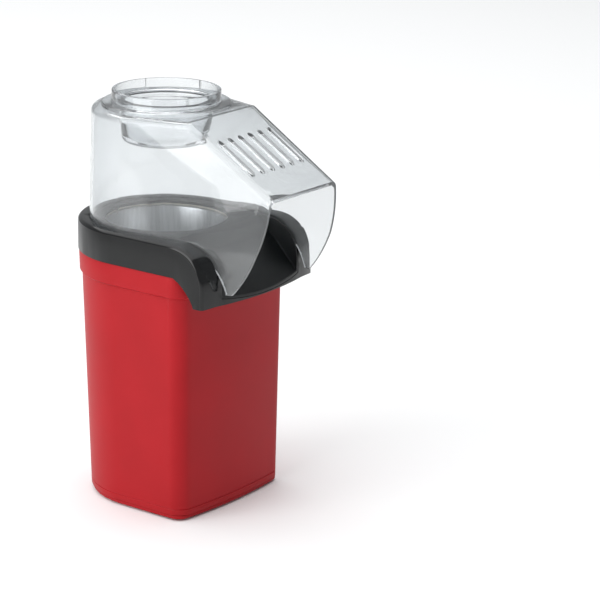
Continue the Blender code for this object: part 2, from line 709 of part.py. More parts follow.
def build_hood():
    sections = []
    steps = 9
    for i in range(steps):
        z = TIP_HEIGHT + (LIP_HEIGHT - TIP_HEIGHT) * i / (steps - 1)
        sections.append(hood_section(z, mouth_reach(z), 0.0))
    for z in (250.0, 262.0, HOOD_TOP - 5.0):
        sections.append(hood_section(z, roof_reach(z), 0.0))
    for z, shrink in ((HOOD_TOP - 2.4, 0.8), (HOOD_TOP - 0.7, 2.6), (HOOD_TOP, 5.0)):
        sections.append(hood_section(z, roof_reach(z) - 0.5 * shrink, 0.0, shrink))
    hood = new_object("hood", loft(sections), clear_plastic(), 30.0)

    ceiling = HOOD_TOP - HOOD_WALL
    wall_drop = HOOD_WALL * 1.17
    inner = []
    for z in (TIP_HEIGHT - 20.0, CROWN_HEIGHT, 215.0, LIP_HEIGHT, 250.0, 262.0, ceiling - 5.0):
        inner.append(hood_section(z, roof_reach(z, wall_drop), HOOD_WALL))
    for z, shrink in ((ceiling - 2.4, 0.8), (ceiling - 0.7, 2.6), (ceiling, 5.0)):
        inner.append(hood_section(z, roof_reach(z, wall_drop) - 0.5 * shrink, HOOD_WALL, shrink))

    plinth = [(PLINTH_RADIUS, HOOD_TOP - 1.0), (PLINTH_RADIUS, HOOD_TOP + PLINTH_HEIGHT - 0.8),
              (PLINTH_RADIUS - 0.8, HOOD_TOP + PLINTH_HEIGHT), (RING_RADIUS, HOOD_TOP + PLINTH_HEIGHT),
              (RING_RADIUS, TOTAL_HEIGHT - 0.8), (RING_RADIUS - 0.8, TOTAL_HEIGHT),
              (0.0, TOTAL_HEIGHT), (0.0, HOOD_TOP - 1.0)]
    add(hood, "ring", turned(plinth, 48))
    cut(hood, "inside", loft(inner))
    ledge = ledge_height()
    bore = [(0.0, HOOD_TOP - 30.0), (cup_radius() + RUN_CLEARANCE, HOOD_TOP - 30.0),
            (cup_radius() + RUN_CLEARANCE, ledge), (RING_RADIUS - RING_WALL, ledge),
            (RING_RADIUS - RING_WALL, TALL), (0.0, TALL)]
    cut(hood, "ring_bore", turned(bore, 48))
    foot = crown_curve(hood_bottom_reach(), CROWN_HEIGHT)
    cut(hood, "lower_edge", side_prism(foot + [(foot[-1][0], 60.0), (WIDE, 60.0)]))
    vents = []
    for i in range(VENT_COUNT):
        x = (i - (VENT_COUNT - 1) / 2.0) * VENT_PITCH
        vents.append(prism(stadium(x, VENT_WIDTH / 2.0, *VENT_REACH), LIP_HEIGHT - 20.0, TALL))
    cut(hood, "vents", joined(*vents))


def stadium(x, radius, near, far):
    """Plan of a slot with round ends, running forwards from the chamber."""
    points = []
    for i in range(9):
        angle = math.pi * i / 8
        points.append((x + radius * math.cos(angle), -near - radius + radius * math.sin(angle)))
    for i in range(9):
        angle = math.pi + math.pi * i / 8
        points.append((x + radius * math.cos(angle), -far + radius + radius * math.sin(angle)))
    return points


def cup_radius():
    """Outer radius of the measuring cup's body."""
    return RING_RADIUS - RING_WALL - 3.0


def ledge_height():
    """Height of the ledge inside the ring that the cup's rim rests on."""
    return HOOD_TOP + PLINTH_HEIGHT


def build_cup():
    rim_low = ledge_height() + GAP
    rim_top = rim_low + 2.0
    rim = RING_RADIUS - RING_WALL - RUN_CLEARANCE
    body = cup_radius()
    low = rim_low - CUP_DEPTH
    profile = [(0.0, low), (body - 6.0, low), (body - 2.4, low + 1.2), (body - 1.2, low + 4.0),
               (body, rim_low), (rim, rim_low), (rim, rim_top), (body - CUP_WALL + 0.4, rim_top),
               (body - CUP_WALL - 1.2, low + 4.0 + CUP_WALL), (body - 6.0, low + CUP_WALL),
               (0.0, low + CUP_WALL)]
    new_object("measuring_cup", turned(profile), clear_plastic())


# ---------------------------------------------------------------- chamber and heater
def build_chamber():
    flange = MOUTH_RADIUS + FLANGE_WIDTH
    seal_low = FLANGE_TOP - 1.0
    seal = [(MOUTH_RADIUS + 0.8, seal_low), (flange, seal_low), (flange, FLANGE_TOP),
            (MOUTH_RADIUS + 0.8, FLANGE_TOP)]
    new_object("chamber_gasket", turned(seal), seal_fibre())

    top = seal_low - GAP
    inner = CHAMBER_RADIUS - SHEET
    low = CHAMBER_BOTTOM
    profile = [(0.0, low), (CHAMBER_RADIUS - 4.0, low), (CHAMBER_RADIUS - 1.2, low + 1.2),
               (CHAMBER_RADIUS, low + 4.0), (CHAMBER_RADIUS, top - SHEET), (flange, top - SHEET),
               (flange, top), (inner, top), (inner, low + 4.0), (inner - 3.0, low + SHEET),
               (0.0, low + SHEET)]
    chamber = new_object("popping_chamber", turned(profile), aluminium())
    louvres = []
    for i in range(LOUVRE_COUNT):
        slot = box((-1.1, CHAMBER_RADIUS - 4.0, -5.5), (1.1, CHAMBER_RADIUS + 3.0, 5.5))
        tilt = Matrix.Rotation(math.radians(28.0), 4, 'Y')
        turn = Matrix.Rotation(2.0 * math.pi * i / LOUVRE_COUNT, 4, 'Z')
        louvres.append(placed(slot, turn @ Matrix.Translation((0.0, 0.0, low + 13.0)) @ tilt))
    cut(chamber, "louvres", joined(*louvres))

    can_top = top - SHEET - GAP
    outer = CAN_RADIUS
    wall = SHEET * 0.8
    lip = outer + 3.0
    can = [(outer - wall, CAN_BOTTOM), (lip, CAN_BOTTOM), (lip, CAN_BOTTOM + wall),
           (outer, CAN_BOTTOM + wall), (outer, can_top), (outer - wall, can_top)]
    heater_can = new_object("heater_can", turned(can), steel())
    for i, (x, y) in enumerate(post_spots()):
        ear = box((CAN_RADIUS - 1.2 * wall, -5.0, CAN_EAR_HEIGHT - 1.2),
                  (math.hypot(x, y) + 5.0, 5.0, CAN_EAR_HEIGHT))
        turn = Matrix.Rotation(math.atan2(y, x), 4, 'Z')
        add(heater_can, f"ear_{i + 1}", placed(ear, turn))
        hole = [(0.0, CAN_EAR_HEIGHT - 5.0), (SCREW_RADIUS + GAP, CAN_EAR_HEIGHT - 5.0),
                (SCREW_RADIUS + GAP, CAN_EAR_HEIGHT + 5.0), (0.0, CAN_EAR_HEIGHT + 5.0)]
        cut(heater_can, f"ear_hole_{i + 1}", turned(hole, SMALL_SIDES, (x, y)))
        seat = CAN_EAR_HEIGHT - 1.2 - GAP
        new_object(f"can_screw_{i + 1}", pan_screw((x, y), seat, 9.0, up=True), steel())


def build_heater():
    reach = COIL_RADIUS * math.cos(math.pi / COIL_SIDES) - COIL_WIRE - GAP
    middle = MICA_BOTTOM + MICA_HEIGHT / 2.0
    half = MICA_THICKNESS / 2.0
    for name, turn, slot_low, slot_high in (
            ("mica_board_a", 0.0, middle - GAP / 2.0, MICA_BOTTOM + MICA_HEIGHT + 1.0),
            ("mica_board_b", 90.0, MICA_BOTTOM - 1.0, middle + GAP / 2.0)):
        board = box((-reach, -half, MICA_BOTTOM), (reach, half, MICA_BOTTOM + MICA_HEIGHT))
        turned_board = placed(board, Matrix.Rotation(math.radians(turn), 4, 'Z'))
        made = new_object(name, turned_board, mica())
        slot = box((-half - GAP, -half - GAP, slot_low), (half + GAP, half + GAP, slot_high))
        cut(made, "cross_slot", slot)
    points = []
    for i in range(COIL_TURNS * COIL_SIDES + 1):
        angle = 2.0 * math.pi * i / COIL_SIDES
        z = MICA_BOTTOM + 3.0 + COIL_PITCH * i / COIL_SIDES
        points.append((COIL_RADIUS * math.cos(angle), COIL_RADIUS * math.sin(angle), z))
    wire("heating_coil", points, COIL_WIRE, wire_metal(), 1)


def wire(name, points, radius, finish, resolution):
    """A round wire or lead along a list of points, as a curve with filled ends."""
    curve = bpy.data.curves.new(name, 'CURVE')
    curve.dimensions = '3D'
    curve.bevel_depth = radius * MM
    curve.bevel_resolution = resolution
    curve.use_fill_caps = True
    spline = curve.splines.new('POLY')
    spline.points.add(len(points) - 1)
    for slot, point in zip(spline.points, points):
        slot.co = (*(Vector(point) * MM), 1.0)
    spline.use_smooth = True
    curve.materials.append(finish)
    made = bpy.data.objects.new(name, curve)
    bpy.context.scene.collection.objects.link(made)
    made.parent = ASSEMBLY
    return made


def smooth_route(anchors, steps):
    """Points along a smooth curve through the anchors (Catmull-Rom)."""
    padded = [anchors[0]] + list(anchors) + [anchors[-1]]
    points = []
    for k in range(1, len(padded) - 2):
        a, b, c, d = (Vector(p) for p in padded[k - 1:k + 3])
        for i in range(steps):
            t = i / steps
            point = b * 2.0 + (c - a) * t + (a * 2.0 - b * 5.0 + c * 4.0 - d) * t * t
            points.append(0.5 * (point + (b * 3.0 - a - c * 3.0 + d) * t ** 3))
    points.append(Vector(anchors[-1]))
    return points


# ---------------------------------------------------------------- fan and motor
def build_fan():
    top = CAN_BOTTOM - GAP
    wall = 2.0
    outer = CAN_RADIUS - 0.6
    lip = CAN_RADIUS + 3.0
    profile = [(0.0, FAN_BOTTOM), (outer - 3.0, FAN_BOTTOM), (outer, FAN_BOTTOM + 3.0),
               (outer, top - 1.2), (lip, top - 1.2), (lip, top), (outer - wall, top),
               (outer - wall, FAN_BOTTOM + 3.0 + wall * 0.4), (outer - wall - 2.4, FAN_BOTTOM + wall),
               (0.0, FAN_BOTTOM + wall)]
    housing = new_object("fan_housing", turned(profile), black_plastic())
    windows = []
    for i in range(4):
        inner, wide = MOTOR_RADIUS + 4.0, IMPELLER_RADIUS - 8.0
        arc = []
        for k in range(9):
            angle = math.radians(90.0 * i + 10.0 + 70.0 * k / 8)
            arc.append((wide * math.cos(angle), wide * math.sin(angle)))
        for k in range(9):
            angle = math.radians(90.0 * i + 80.0 - 70.0 * k / 8)
            arc.append((inner * math.cos(angle), inner * math.sin(angle)))
        windows.append(prism(arc, FAN_BOTTOM - 2.0, FAN_BOTTOM + 6.0))
    cut(housing, "air_windows", joined(*windows))
    holes = [bore_solid(SHAFT_RADIUS + 2.6, FAN_BOTTOM - 2.0, FAN_BOTTOM + 6.0, (0.0, 0.0))]
    for x in motor_screw_reach():
        holes.append(bore_solid(SCREW_RADIUS + GAP, FAN_BOTTOM - 2.0, FAN_BOTTOM + 6.0, (x, 0.0)))
    cut(housing, "motor_holes", joined(*holes))

    for i in range(3):
        angle = math.radians(90.0 + 120.0 * i)
        build_clip(f"housing_clip_{i + 1}", angle, lip, top)

    low = FAN_BOTTOM + wall + 2.0
    disc = [(SHAFT_RADIUS + GAP, low), (6.0, low), (6.0, low + 1.0), (IMPELLER_RADIUS - 1.0, low + 1.0),
            (IMPELLER_RADIUS - 1.0, low + 2.2), (6.0, low + 2.2), (5.0, low + IMPELLER_HEIGHT - 3.0),
            (SHAFT_RADIUS + GAP, low + IMPELLER_HEIGHT - 3.0)]
    impeller = new_object("impeller", turned(disc), black_plastic())
    for i in range(BLADE_COUNT):
        blade = box((11.0, -0.8, low + 1.6), (IMPELLER_RADIUS - 1.4, 0.8, low + IMPELLER_HEIGHT))
        turn = Matrix.Rotation(2.0 * math.pi * i / BLADE_COUNT, 4, 'Z')
        add(impeller, f"blade_{i + 1}", placed(blade, turn))


def bore_solid(radius, low, high, spot):
    return turned([(0.0, low), (radius, low), (radius, high), (0.0, high)], SMALL_SIDES, spot)


def motor_screw_reach():
    return (-8.5, 8.5)


def build_clip(name, angle, lip, top):
    """A spring-steel clip that grips the can's flange and the fan housing's flange."""
    low, high = top - 1.2 - GAP, CAN_BOTTOM + 0.8 * SHEET + GAP
    sheet = 0.8
    inner = lip + GAP
    outline = [(lip - 2.2, low - sheet), (inner + sheet, low - sheet), (inner + sheet, high + sheet),
               (lip - 2.2, high + sheet), (lip - 2.2, high), (inner, high), (inner, low), (lip - 2.2, low)]
    bm = loft([[(x, y, z) for x, z in outline] for y in (4.0, -4.0)])
    bmesh.ops.recalc_face_normals(bm, faces=bm.faces)
    new_object(name, placed(bm, Matrix.Rotation(angle, 4, 'Z')), steel())


def build_motor():
    wall = 1.2
    bush = SHAFT_RADIUS + 2.0
    neck = bush + GAP
    can = [(neck, MOTOR_TOP - wall), (neck, MOTOR_TOP), (MOTOR_RADIUS - 1.0, MOTOR_TOP),
           (MOTOR_RADIUS, MOTOR_TOP - 1.0), (MOTOR_RADIUS, MOTOR_BOTTOM), (MOTOR_RADIUS - wall, MOTOR_BOTTOM),
           (MOTOR_RADIUS - wall, MOTOR_TOP - wall)]
    motor_can = new_object("motor_can", turned(can, MEDIUM_SIDES), steel())
    holes = []
    for x in motor_screw_reach():
        holes.append(bore_solid(SCREW_RADIUS + GAP, MOTOR_TOP - 5.0, MOTOR_TOP + 3.0, (x, 0.0)))
    cut(motor_can, "screw_holes", joined(*holes))
    for i, x in enumerate(motor_screw_reach()):
        seat = FAN_BOTTOM + 2.0 + GAP
        spot = (x, 0.0)
        profile = [(0.0, seat + 1.2), (2.4, seat + 1.2), (2.8, seat + 0.8), (2.8, seat), (SCREW_RADIUS, seat),
                   (SCREW_RADIUS, seat - 4.4), (0.0, seat - 5.0)]
        new_object(f"motor_screw_{i + 1}", turned(profile, SMALL_SIDES, spot), steel())

    cap_top = MOTOR_BOTTOM - GAP
    cap = [(neck, cap_top - 2.4), (MOTOR_RADIUS - 0.4, cap_top - 2.4), (MOTOR_RADIUS - 0.4, cap_top),
           (neck, cap_top)]
    new_object("motor_end_cap", turned(cap, MEDIUM_SIDES), black_plastic())
    for name, low in (("motor_bush_upper", MOTOR_TOP - wall), ("motor_bush_lower", cap_top - 2.4)):
        ring = [(SHAFT_RADIUS + GAP, low), (bush, low), (bush, low + 2.2), (SHAFT_RADIUS + GAP, low + 2.2)]
        new_object(name, turned(ring, SMALL_SIDES), bronze())

    shaft_low = cap_top - 2.4
    shaft_high = FAN_BOTTOM + IMPELLER_HEIGHT + 3.0
    shaft = [(0.0, shaft_low), (SHAFT_RADIUS, shaft_low), (SHAFT_RADIUS, shaft_high - 0.4),
             (SHAFT_RADIUS - 0.4, shaft_high), (0.0, shaft_high)]
    new_object("motor_shaft", turned(shaft, SMALL_SIDES), steel())
    core = MOTOR_RADIUS - wall - GAP - 3.0 - RUN_CLEARANCE
    rotor = [(SHAFT_RADIUS + GAP, MOTOR_BOTTOM + 4.0), (core, MOTOR_BOTTOM + 4.0), (core, MOTOR_TOP - 9.0),
             (SHAFT_RADIUS + GAP, MOTOR_TOP - 9.0)]
    new_object("motor_armature", turned(rotor, MEDIUM_SIDES), wire_metal())
    for name, turn in (("motor_magnet_left", 180.0), ("motor_magnet_right", 0.0)):
        outer, inner = MOTOR_RADIUS - wall - GAP, MOTOR_RADIUS - wall - GAP - 3.0
        arc = [(outer * math.cos(math.radians(a)), outer * math.sin(math.radians(a)))
               for a in range(-60, 61, 12)]
        arc += [(inner * math.cos(math.radians(a)), inner * math.sin(math.radians(a)))
                for a in range(60, -61, -12)]
        magnet = prism(arc, MOTOR_BOTTOM + 3.0, MOTOR_TOP - 9.0)
        new_object(name, placed(magnet, Matrix.Rotation(math.radians(turn), 4, 'Z')), ferrite())


# ---------------------------------------------------------------- electrics
def build_electrics():
    board_x = MOTOR_RADIUS + 10.0
    board = new_object("rectifier_board", box((board_x, -12.0, MOTOR_BOTTOM + 1.0),
                                              (board_x + 1.6, 12.0, MOTOR_BOTTOM + 23.0)), board_green())
    for i in range(4):
        y = -8.0 + 5.4 * i
        diode = box((board_x + 1.2, y - 1.3, MOTOR_BOTTOM + 9.0), (board_x + 4.4, y + 1.3, MOTOR_BOTTOM + 15.0))
        add(board, f"diode_{i + 1}", diode)

    face = -CAN_RADIUS - 0.6
    stat = turned([(0.0, 0.0), (8.0, 0.0), (8.0, 3.4), (5.0, 4.0), (5.0, 6.2), (0.0, 6.2)], MEDIUM_SIDES)
    lie = Matrix.Translation((0.0, face, CAN_BOTTOM + 26.0)) @ Matrix.Rotation(math.radians(90.0), 4, 'X')
    new_object("thermostat", placed(stat, lie), aluminium())
    fuse = turned([(0.0, -6.0), (1.7, -6.0), (1.7, 6.0), (0.0, 6.0)], SMALL_SIDES)
    across = Matrix.Translation((0.0, face - 2.4, CAN_BOTTOM + 42.0)) @ Matrix.Rotation(math.radians(90.0), 4, 'Y')
    new_object("thermal_fuse", placed(fuse, across), seal_fibre())

    half_w, half_h = SWITCH_WIDTH / 2.0, SWITCH_HEIGHT / 2.0
    front = PAD_FACE + GAP
    housing = new_object("switch_housing", box((-half_w, PAD_FACE - SWITCH_DEPTH, SWITCH_CENTRE - half_h),
                                               (half_w, front + 0.8, SWITCH_CENTRE + half_h)),
                         black_plastic())
    add(housing, "bezel", box((-half_w - 1.2, front, SWITCH_CENTRE - half_h - 1.2),
                              (half_w + 1.2, front + 1.4, SWITCH_CENTRE + half_h + 1.2)))
    well_w, well_h = half_w - 1.8, half_h - 1.8
    cut(housing, "well", box((-well_w, front - 8.5, SWITCH_CENTRE - well_h),
                             (well_w, front + 5.0, SWITCH_CENTRE + well_h)))
    build_rocker(front, well_w - 0.4, well_h - 0.7)

    gland = [(CORD_BORE, -4.4), (GLAND_RADIUS + 1.4, -4.4), (GLAND_RADIUS + 1.4, -PAD_WALL - GAP),
             (GLAND_RADIUS, -PAD_WALL - GAP), (GLAND_RADIUS, GAP), (GLAND_RADIUS + 1.6, GAP),
             (GLAND_RADIUS + 1.6, 1.4), (GLAND_RADIUS - 0.2, 2.6), (CORD_BORE + 0.9, 8.0), (CORD_BORE, 8.0)]
    new_object("cord_gland", placed(turned(gland, MEDIUM_SIDES), rear_facing(GLAND_CENTRE)), rubber())

    behind = PAD_FACE - SWITCH_DEPTH - 1.6
    terminal = (3.5, behind, SWITCH_CENTRE + 3.0)
    board_top = (board_x + 2.4, 4.0, MOTOR_BOTTOM + 19.0)
    route = [terminal, (9.0, behind - 5.0, SWITCH_CENTRE + 1.0), (24.0, behind - 12.0, MOTOR_BOTTOM + 22.0),
             (board_x + 5.0, 12.0, MOTOR_BOTTOM + 20.0), board_top]
    wire("lead_switch_to_board", smooth_route(route, 6), 0.9, lead_insulation(), 1)
    inlet = [(0.0, PAD_FACE - 6.0, GLAND_CENTRE), (-1.0, PAD_FACE - 14.0, GLAND_CENTRE + 1.0),
             (-4.5, behind - 4.0, SWITCH_CENTRE - 8.0), (-3.5, behind, SWITCH_CENTRE - 4.0)]
    wire("lead_inlet_to_switch", smooth_route(inlet, 6), 0.9, lead_insulation(), 1)


def build_rocker(front, half_w, half_h):
    """The rocker turns about X; at rest its upper end stands proud."""
    pivot = (0.0, front - 3.0, SWITCH_CENTRE)
    outline = [(-4.0, -3.2), (2.4, -half_h), (4.4, -half_h), (4.6, 0.0), (6.8, half_h - 1.0), (4.0, half_h),
               (-4.0, 3.2)]
    points = [(pivot[1] + y, SWITCH_CENTRE + z) for y, z in outline]
    new_object("switch_rocker", side_prism(points, half_w), black_plastic(), origin=pivot)


def build():
    global ASSEMBLY
    for stale in list(bpy.data.objects):
        bpy.data.objects.remove(stale, do_unlink=True)
    ASSEMBLY = bpy.data.objects.new("chamber_axis", None)
    ASSEMBLY.location = (0.0, AXIS_OFFSET * MM, 0.0)
    bpy.context.scene.collection.objects.link(ASSEMBLY)
    build_base()
    build_body()
    build_collar()
    build_tray()
    build_hood()
    build_cup()
    build_chamber()
    build_heater()
    build_fan()
    build_motor()
    build_electrics()


build()
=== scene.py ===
# %% [markdown]
# # A hot-air popcorn maker
# The mechanical model is loaded first as a fixed frame. Every visible piece is then modelled over
# it, the way the real machine is made: a moulded body, a polished collar, a clear hood and the
# pressed metal inside. All lengths are metres, and positions are read from the frame.

import json
import math

import bmesh
import bpy
from mathutils import Matrix, Vector


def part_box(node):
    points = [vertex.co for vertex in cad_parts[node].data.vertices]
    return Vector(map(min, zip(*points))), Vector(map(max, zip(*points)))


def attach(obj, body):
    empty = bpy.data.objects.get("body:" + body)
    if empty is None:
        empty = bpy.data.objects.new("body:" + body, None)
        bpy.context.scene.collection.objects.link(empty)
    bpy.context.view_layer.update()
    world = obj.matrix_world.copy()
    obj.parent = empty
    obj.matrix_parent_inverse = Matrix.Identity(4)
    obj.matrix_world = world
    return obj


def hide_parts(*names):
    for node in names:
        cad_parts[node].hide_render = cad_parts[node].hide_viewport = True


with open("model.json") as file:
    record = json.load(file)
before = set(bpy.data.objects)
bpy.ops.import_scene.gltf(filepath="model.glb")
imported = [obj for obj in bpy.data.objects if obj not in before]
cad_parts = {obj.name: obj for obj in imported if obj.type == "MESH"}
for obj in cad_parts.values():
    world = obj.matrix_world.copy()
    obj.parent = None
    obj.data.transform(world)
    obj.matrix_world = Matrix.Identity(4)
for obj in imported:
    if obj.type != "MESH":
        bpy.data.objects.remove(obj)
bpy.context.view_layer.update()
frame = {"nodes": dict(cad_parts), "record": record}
MM = 0.001

# %% [markdown]
# ## Measures taken from the frame
# A node's box gives its place. The popping chamber is round, so the middle of its box is the
# machine's vertical axis, and everything that is round shares that axis. Blocks that only cut
# other pieces are made larger than the machine, so that their far sides never leave a mark.

# %% Measures
chamber_low, chamber_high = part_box("popping_chamber")
collar_low, collar_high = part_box("collar")
hood_low, hood_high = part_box("hood")
shell_low, shell_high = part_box("body_shell")
AXIS_Y = (chamber_low.y + chamber_high.y) / 2.0
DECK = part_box("chute_tray")[1].z
CROWN = DECK - 2.0 * MM
PAST_SIDE, PAST_FRONT, PAST_TOP = 90.0 * MM, 140.0 * MM, 300.0 * MM
NEAR = 0.1 * MM
print("axis at y, mm:", round(AXIS_Y / MM, 1), "deck at z, mm:", round(DECK / MM, 1))

# %% [markdown]
# ## Helpers for editing
# Blender's edit-mode operators act on whatever is selected, so each step clears the selection
# and then picks vertices, edges or faces by their place. `settle` applies an object's place to
# its mesh, so that the finished piece sits at the origin.


# %% Choosing and opening a piece
def settle(name):
    piece = bpy.context.active_object
    piece.name = name
    bpy.ops.object.transform_apply(location=True, rotation=True, scale=True)
    return piece


def choose(piece):
    bpy.ops.object.select_all(action='DESELECT')
    piece.select_set(True)
    bpy.context.view_layer.objects.active = piece


def open_mesh(piece):
    choose(piece)
    bpy.ops.object.mode_set(mode='EDIT')
    bpy.ops.mesh.select_mode(type='FACE')
    bpy.ops.mesh.select_all(action='SELECT')


def close_mesh():
    bpy.ops.object.mode_set(mode='OBJECT')


def pick(kind, test):
    """Select the vertices, edges or faces that pass the test on a middle and a direction."""
    bpy.ops.mesh.select_mode(type=kind)
    bpy.ops.mesh.select_all(action='DESELECT')
    mesh = bmesh.from_edit_mesh(bpy.context.edit_object.data)
    if kind == 'VERT':
        for vertex in mesh.verts:
            vertex.select_set(bool(test(vertex.co, vertex.normal)))
    if kind == 'EDGE':
        for edge in mesh.edges:
            a, b = edge.verts[0].co, edge.verts[1].co
            edge.select_set(bool(test((a + b) / 2.0, (b - a).normalized())))
    if kind == 'FACE':
        for face in mesh.faces:
            face.select_set(bool(test(face.calc_center_median(), face.normal)))
    mesh.select_flush_mode()
    bmesh.update_edit_mesh(bpy.context.edit_object.data)


# %% [markdown]
# The steps that every piece repeats get a name each: cut with a plane, extrude, scale in plan
# about the machine's axis, and move a whole piece.


# %% Shaping steps
def slice_all(point, normal, clear=None, fill=False):
    """Cut the whole mesh with a plane; clear='front' drops what the normal points at."""
    bpy.ops.mesh.select_all(action='SELECT')
    bpy.ops.mesh.bisect(plane_co=point, plane_no=normal, use_fill=fill,
                        clear_outer=clear == 'front', clear_inner=clear == 'back')


def slice_levels(heights_mm):
    for z in heights_mm:
        slice_all((0.0, 0.0, z * MM), (0.0, 0.0, 1.0))


def push(vector):
    bpy.ops.mesh.extrude_region_move(TRANSFORM_OT_translate={"value": vector})


def scale_plan(across, along, z=0.0):
    bpy.ops.transform.resize(value=(across, along, 1.0), center_override=(0.0, AXIS_Y, z))


def shift(piece, vector):
    open_mesh(piece)
    bpy.ops.transform.translate(value=vector)
    close_mesh()


# %% [markdown]
# Modifiers do what is slow by hand: a Boolean joins or cuts two solids, and a Bevel rounds every
# sharp edge at once. They are applied straight away, so each piece ends as a plain mesh.


# %% Modifier steps
def apply_modifiers(piece):
    choose(piece)
    for modifier in list(piece.modifiers):
        bpy.ops.object.modifier_apply(modifier=modifier.name)


def boolean(piece, tool, operation):
    step = piece.modifiers.new(operation.lower(), 'BOOLEAN')
    step.operation = operation
    step.object = tool
    step.solver = 'EXACT'
    apply_modifiers(piece)
    bpy.data.objects.remove(tool, do_unlink=True)


def round_edges(piece, width, segments=2, angle=40.0, profile=0.5):
    bevel = piece.modifiers.new("rounding", 'BEVEL')
    bevel.width = width
    bevel.segments = segments
    bevel.limit_method = 'ANGLE'
    bevel.angle_limit = math.radians(angle)
    bevel.profile = profile
    apply_modifiers(piece)


def smooth(piece, angle):
    choose(piece)
    bpy.ops.object.shade_smooth_by_angle(angle=math.radians(angle))


def copied(piece, name):
    twin = piece.copy()
    twin.data = piece.data.copy()
    twin.name = name
    bpy.context.scene.collection.objects.link(twin)
    return twin


# %% [markdown]
# Two primitives are enough to start from. Each is added at its size and place, and then shaped.


# %% Starting blocks
def brick(name, low, high):
    size = [b - a for a, b in zip(low, high)]
    middle = [(a + b) / 2.0 for a, b in zip(low, high)]
    bpy.ops.mesh.primitive_cube_add(size=1.0, location=middle, scale=size)
    return settle(name)


def barrel(name, radius, low, high, centre=(0.0, 0.0), turn=(0.0, 0.0, 0.0), sides=128):
    bpy.ops.mesh.primitive_cylinder_add(vertices=sides, radius=radius, depth=high - low,
                                        location=(*centre, (low + high) / 2.0), rotation=turn)
    return settle(name)


# %% [markdown]
# ## Helpers for materials
# One function adds a node with its settings and links. Colours are written as sRGB hex values and
# turned to linear light by one function. A pattern's size is given in millimetres.


# %% Material helpers
def linear(colour):
    values = [int(colour[i:i + 2], 16) / 255.0 for i in (1, 3, 5)]
    rgb = [v / 12.92 if v <= 0.04045 else ((v + 0.055) / 1.055) ** 2.4 for v in values]
    return (*rgb, 1.0)


def node(tree, kind, links=None, **settings):
    made = tree.nodes.new(kind)
    for key, value in settings.items():
        if key in made.inputs:
            made.inputs[key].default_value = value
        else:
            setattr(made, key, value)
    for socket, source in (links or {}).items():
        tree.links.new(source, made.inputs[socket])
    return made


def new_material(name):
    made = bpy.data.materials.new(name)
    made.use_nodes = True
    tree = made.node_tree
    return made, tree, tree.nodes["Principled BSDF"]


def cells(size_mm):
    """Noise scale that gives features of about this many millimetres."""
    return 1.0 / (size_mm * MM)


def pattern_place(tree, stretch=(1.0, 1.0, 1.0)):
    place = node(tree, "ShaderNodeTexCoord")
    turn = node(tree, "ShaderNodeMapping", {"Vector": place.outputs["Object"]}, Scale=stretch)
    return turn.outputs["Vector"]


def relief(tree, shader, where, size_mm, depth_mm, detail):
    """Low bumps of about this size and depth, as noise."""
    wave = node(tree, "ShaderNodeTexNoise", {"Vector": where}, Scale=cells(size_mm), Detail=detail)
    bump = node(tree, "ShaderNodeBump", {"Height": wave.outputs["Fac"]}, Strength=1.0,
                Distance=depth_mm * MM)
    tree.links.new(bump.outputs["Normal"], shader.inputs["Normal"])


# %% [markdown]
# Most finishes share one build. Real plastic and metal are never one flat colour: two close
# colours meet in soft patches, the gloss changes with the patches, and a fine grain breaks the
# highlight. Separate node trees for each would say the same thing again, so one function has
# them all, and constants such as the index go straight on the shader's sockets.


# %% Mottled finish
def mottled(name, low, high, patch_mm, rough, grain_mm, depth_mm, stretch=(1, 1, 1), **constants):
    made, tree, shader = new_material(name)
    where = pattern_place(tree, stretch)
    patch = node(tree, "ShaderNodeTexNoise", {"Vector": where}, Scale=cells(patch_mm), Detail=3.0)
    ramp = node(tree, "ShaderNodeValToRGB", {"Fac": patch.outputs["Fac"]})
    for stop, place, colour in zip(ramp.color_ramp.elements, (0.3, 0.7), (low, high)):
        stop.position, stop.color = place, linear(colour)
    tree.links.new(ramp.outputs["Color"], shader.inputs["Base Color"])
    gloss = node(tree, "ShaderNodeMapRange", {"Value": patch.outputs["Fac"]})
    gloss.inputs["To Min"].default_value, gloss.inputs["To Max"].default_value = rough
    tree.links.new(gloss.outputs["Result"], shader.inputs["Roughness"])
    relief(tree, shader, where, grain_mm, depth_mm, detail=2.0)
    for socket, value in constants.items():
        shader.inputs[socket].default_value = value
    print("material:", name)
    return made


# %% [markdown]
# ## Moulded ABS, red
# The body is injection moulded in red ABS with a fine spark-eroded texture, so its highlights are
# broad and weak. ABS has an index of about 1.54. The texture is about 0.3 mm in life; it is drawn
# at 0.7 mm so that it shows.

# %% Red ABS
ABS = {"IOR": 1.54}
red_abs = mottled("moulded_abs_red", "#A0141B", "#A9171F", patch_mm=45.0, rough=(0.42, 0.52),
                  grain_mm=0.7, depth_mm=0.012, **ABS, **{"Specular IOR Level": 0.16})

# %% [markdown]
# ## Black ABS in three finishes
# The collar's top comes from a polished part of the mould: nearly a mirror, with the faint
# waviness, a few millimetres across, that plastic gets as it shrinks. Its upright outside is
# satin, which spreads the lights into a soft sheen. The tray is textured and duller again; its
# grain is drawn at 1.6 mm, because a finer one turns to dots behind the clear hood.

# %% Black ABS
black_polished = mottled("polished_abs_black", "#050506", "#08090A", patch_mm=30.0,
                         rough=(0.08, 0.14), grain_mm=8.0, depth_mm=0.012, **ABS,
                         **{"Specular IOR Level": 0.4})
black_satin = mottled("satin_abs_black", "#0A0B0B", "#0E0F10", patch_mm=12.0,
                      rough=(0.26, 0.34), grain_mm=1.2, depth_mm=0.012, **ABS,
                      **{"Specular IOR Level": 0.3})
black_textured = mottled("textured_abs_black", "#0F1112", "#151718", patch_mm=20.0,
                         rough=(0.36, 0.44), grain_mm=1.6, depth_mm=0.005, **ABS,
                         **{"Specular IOR Level": 0.25})

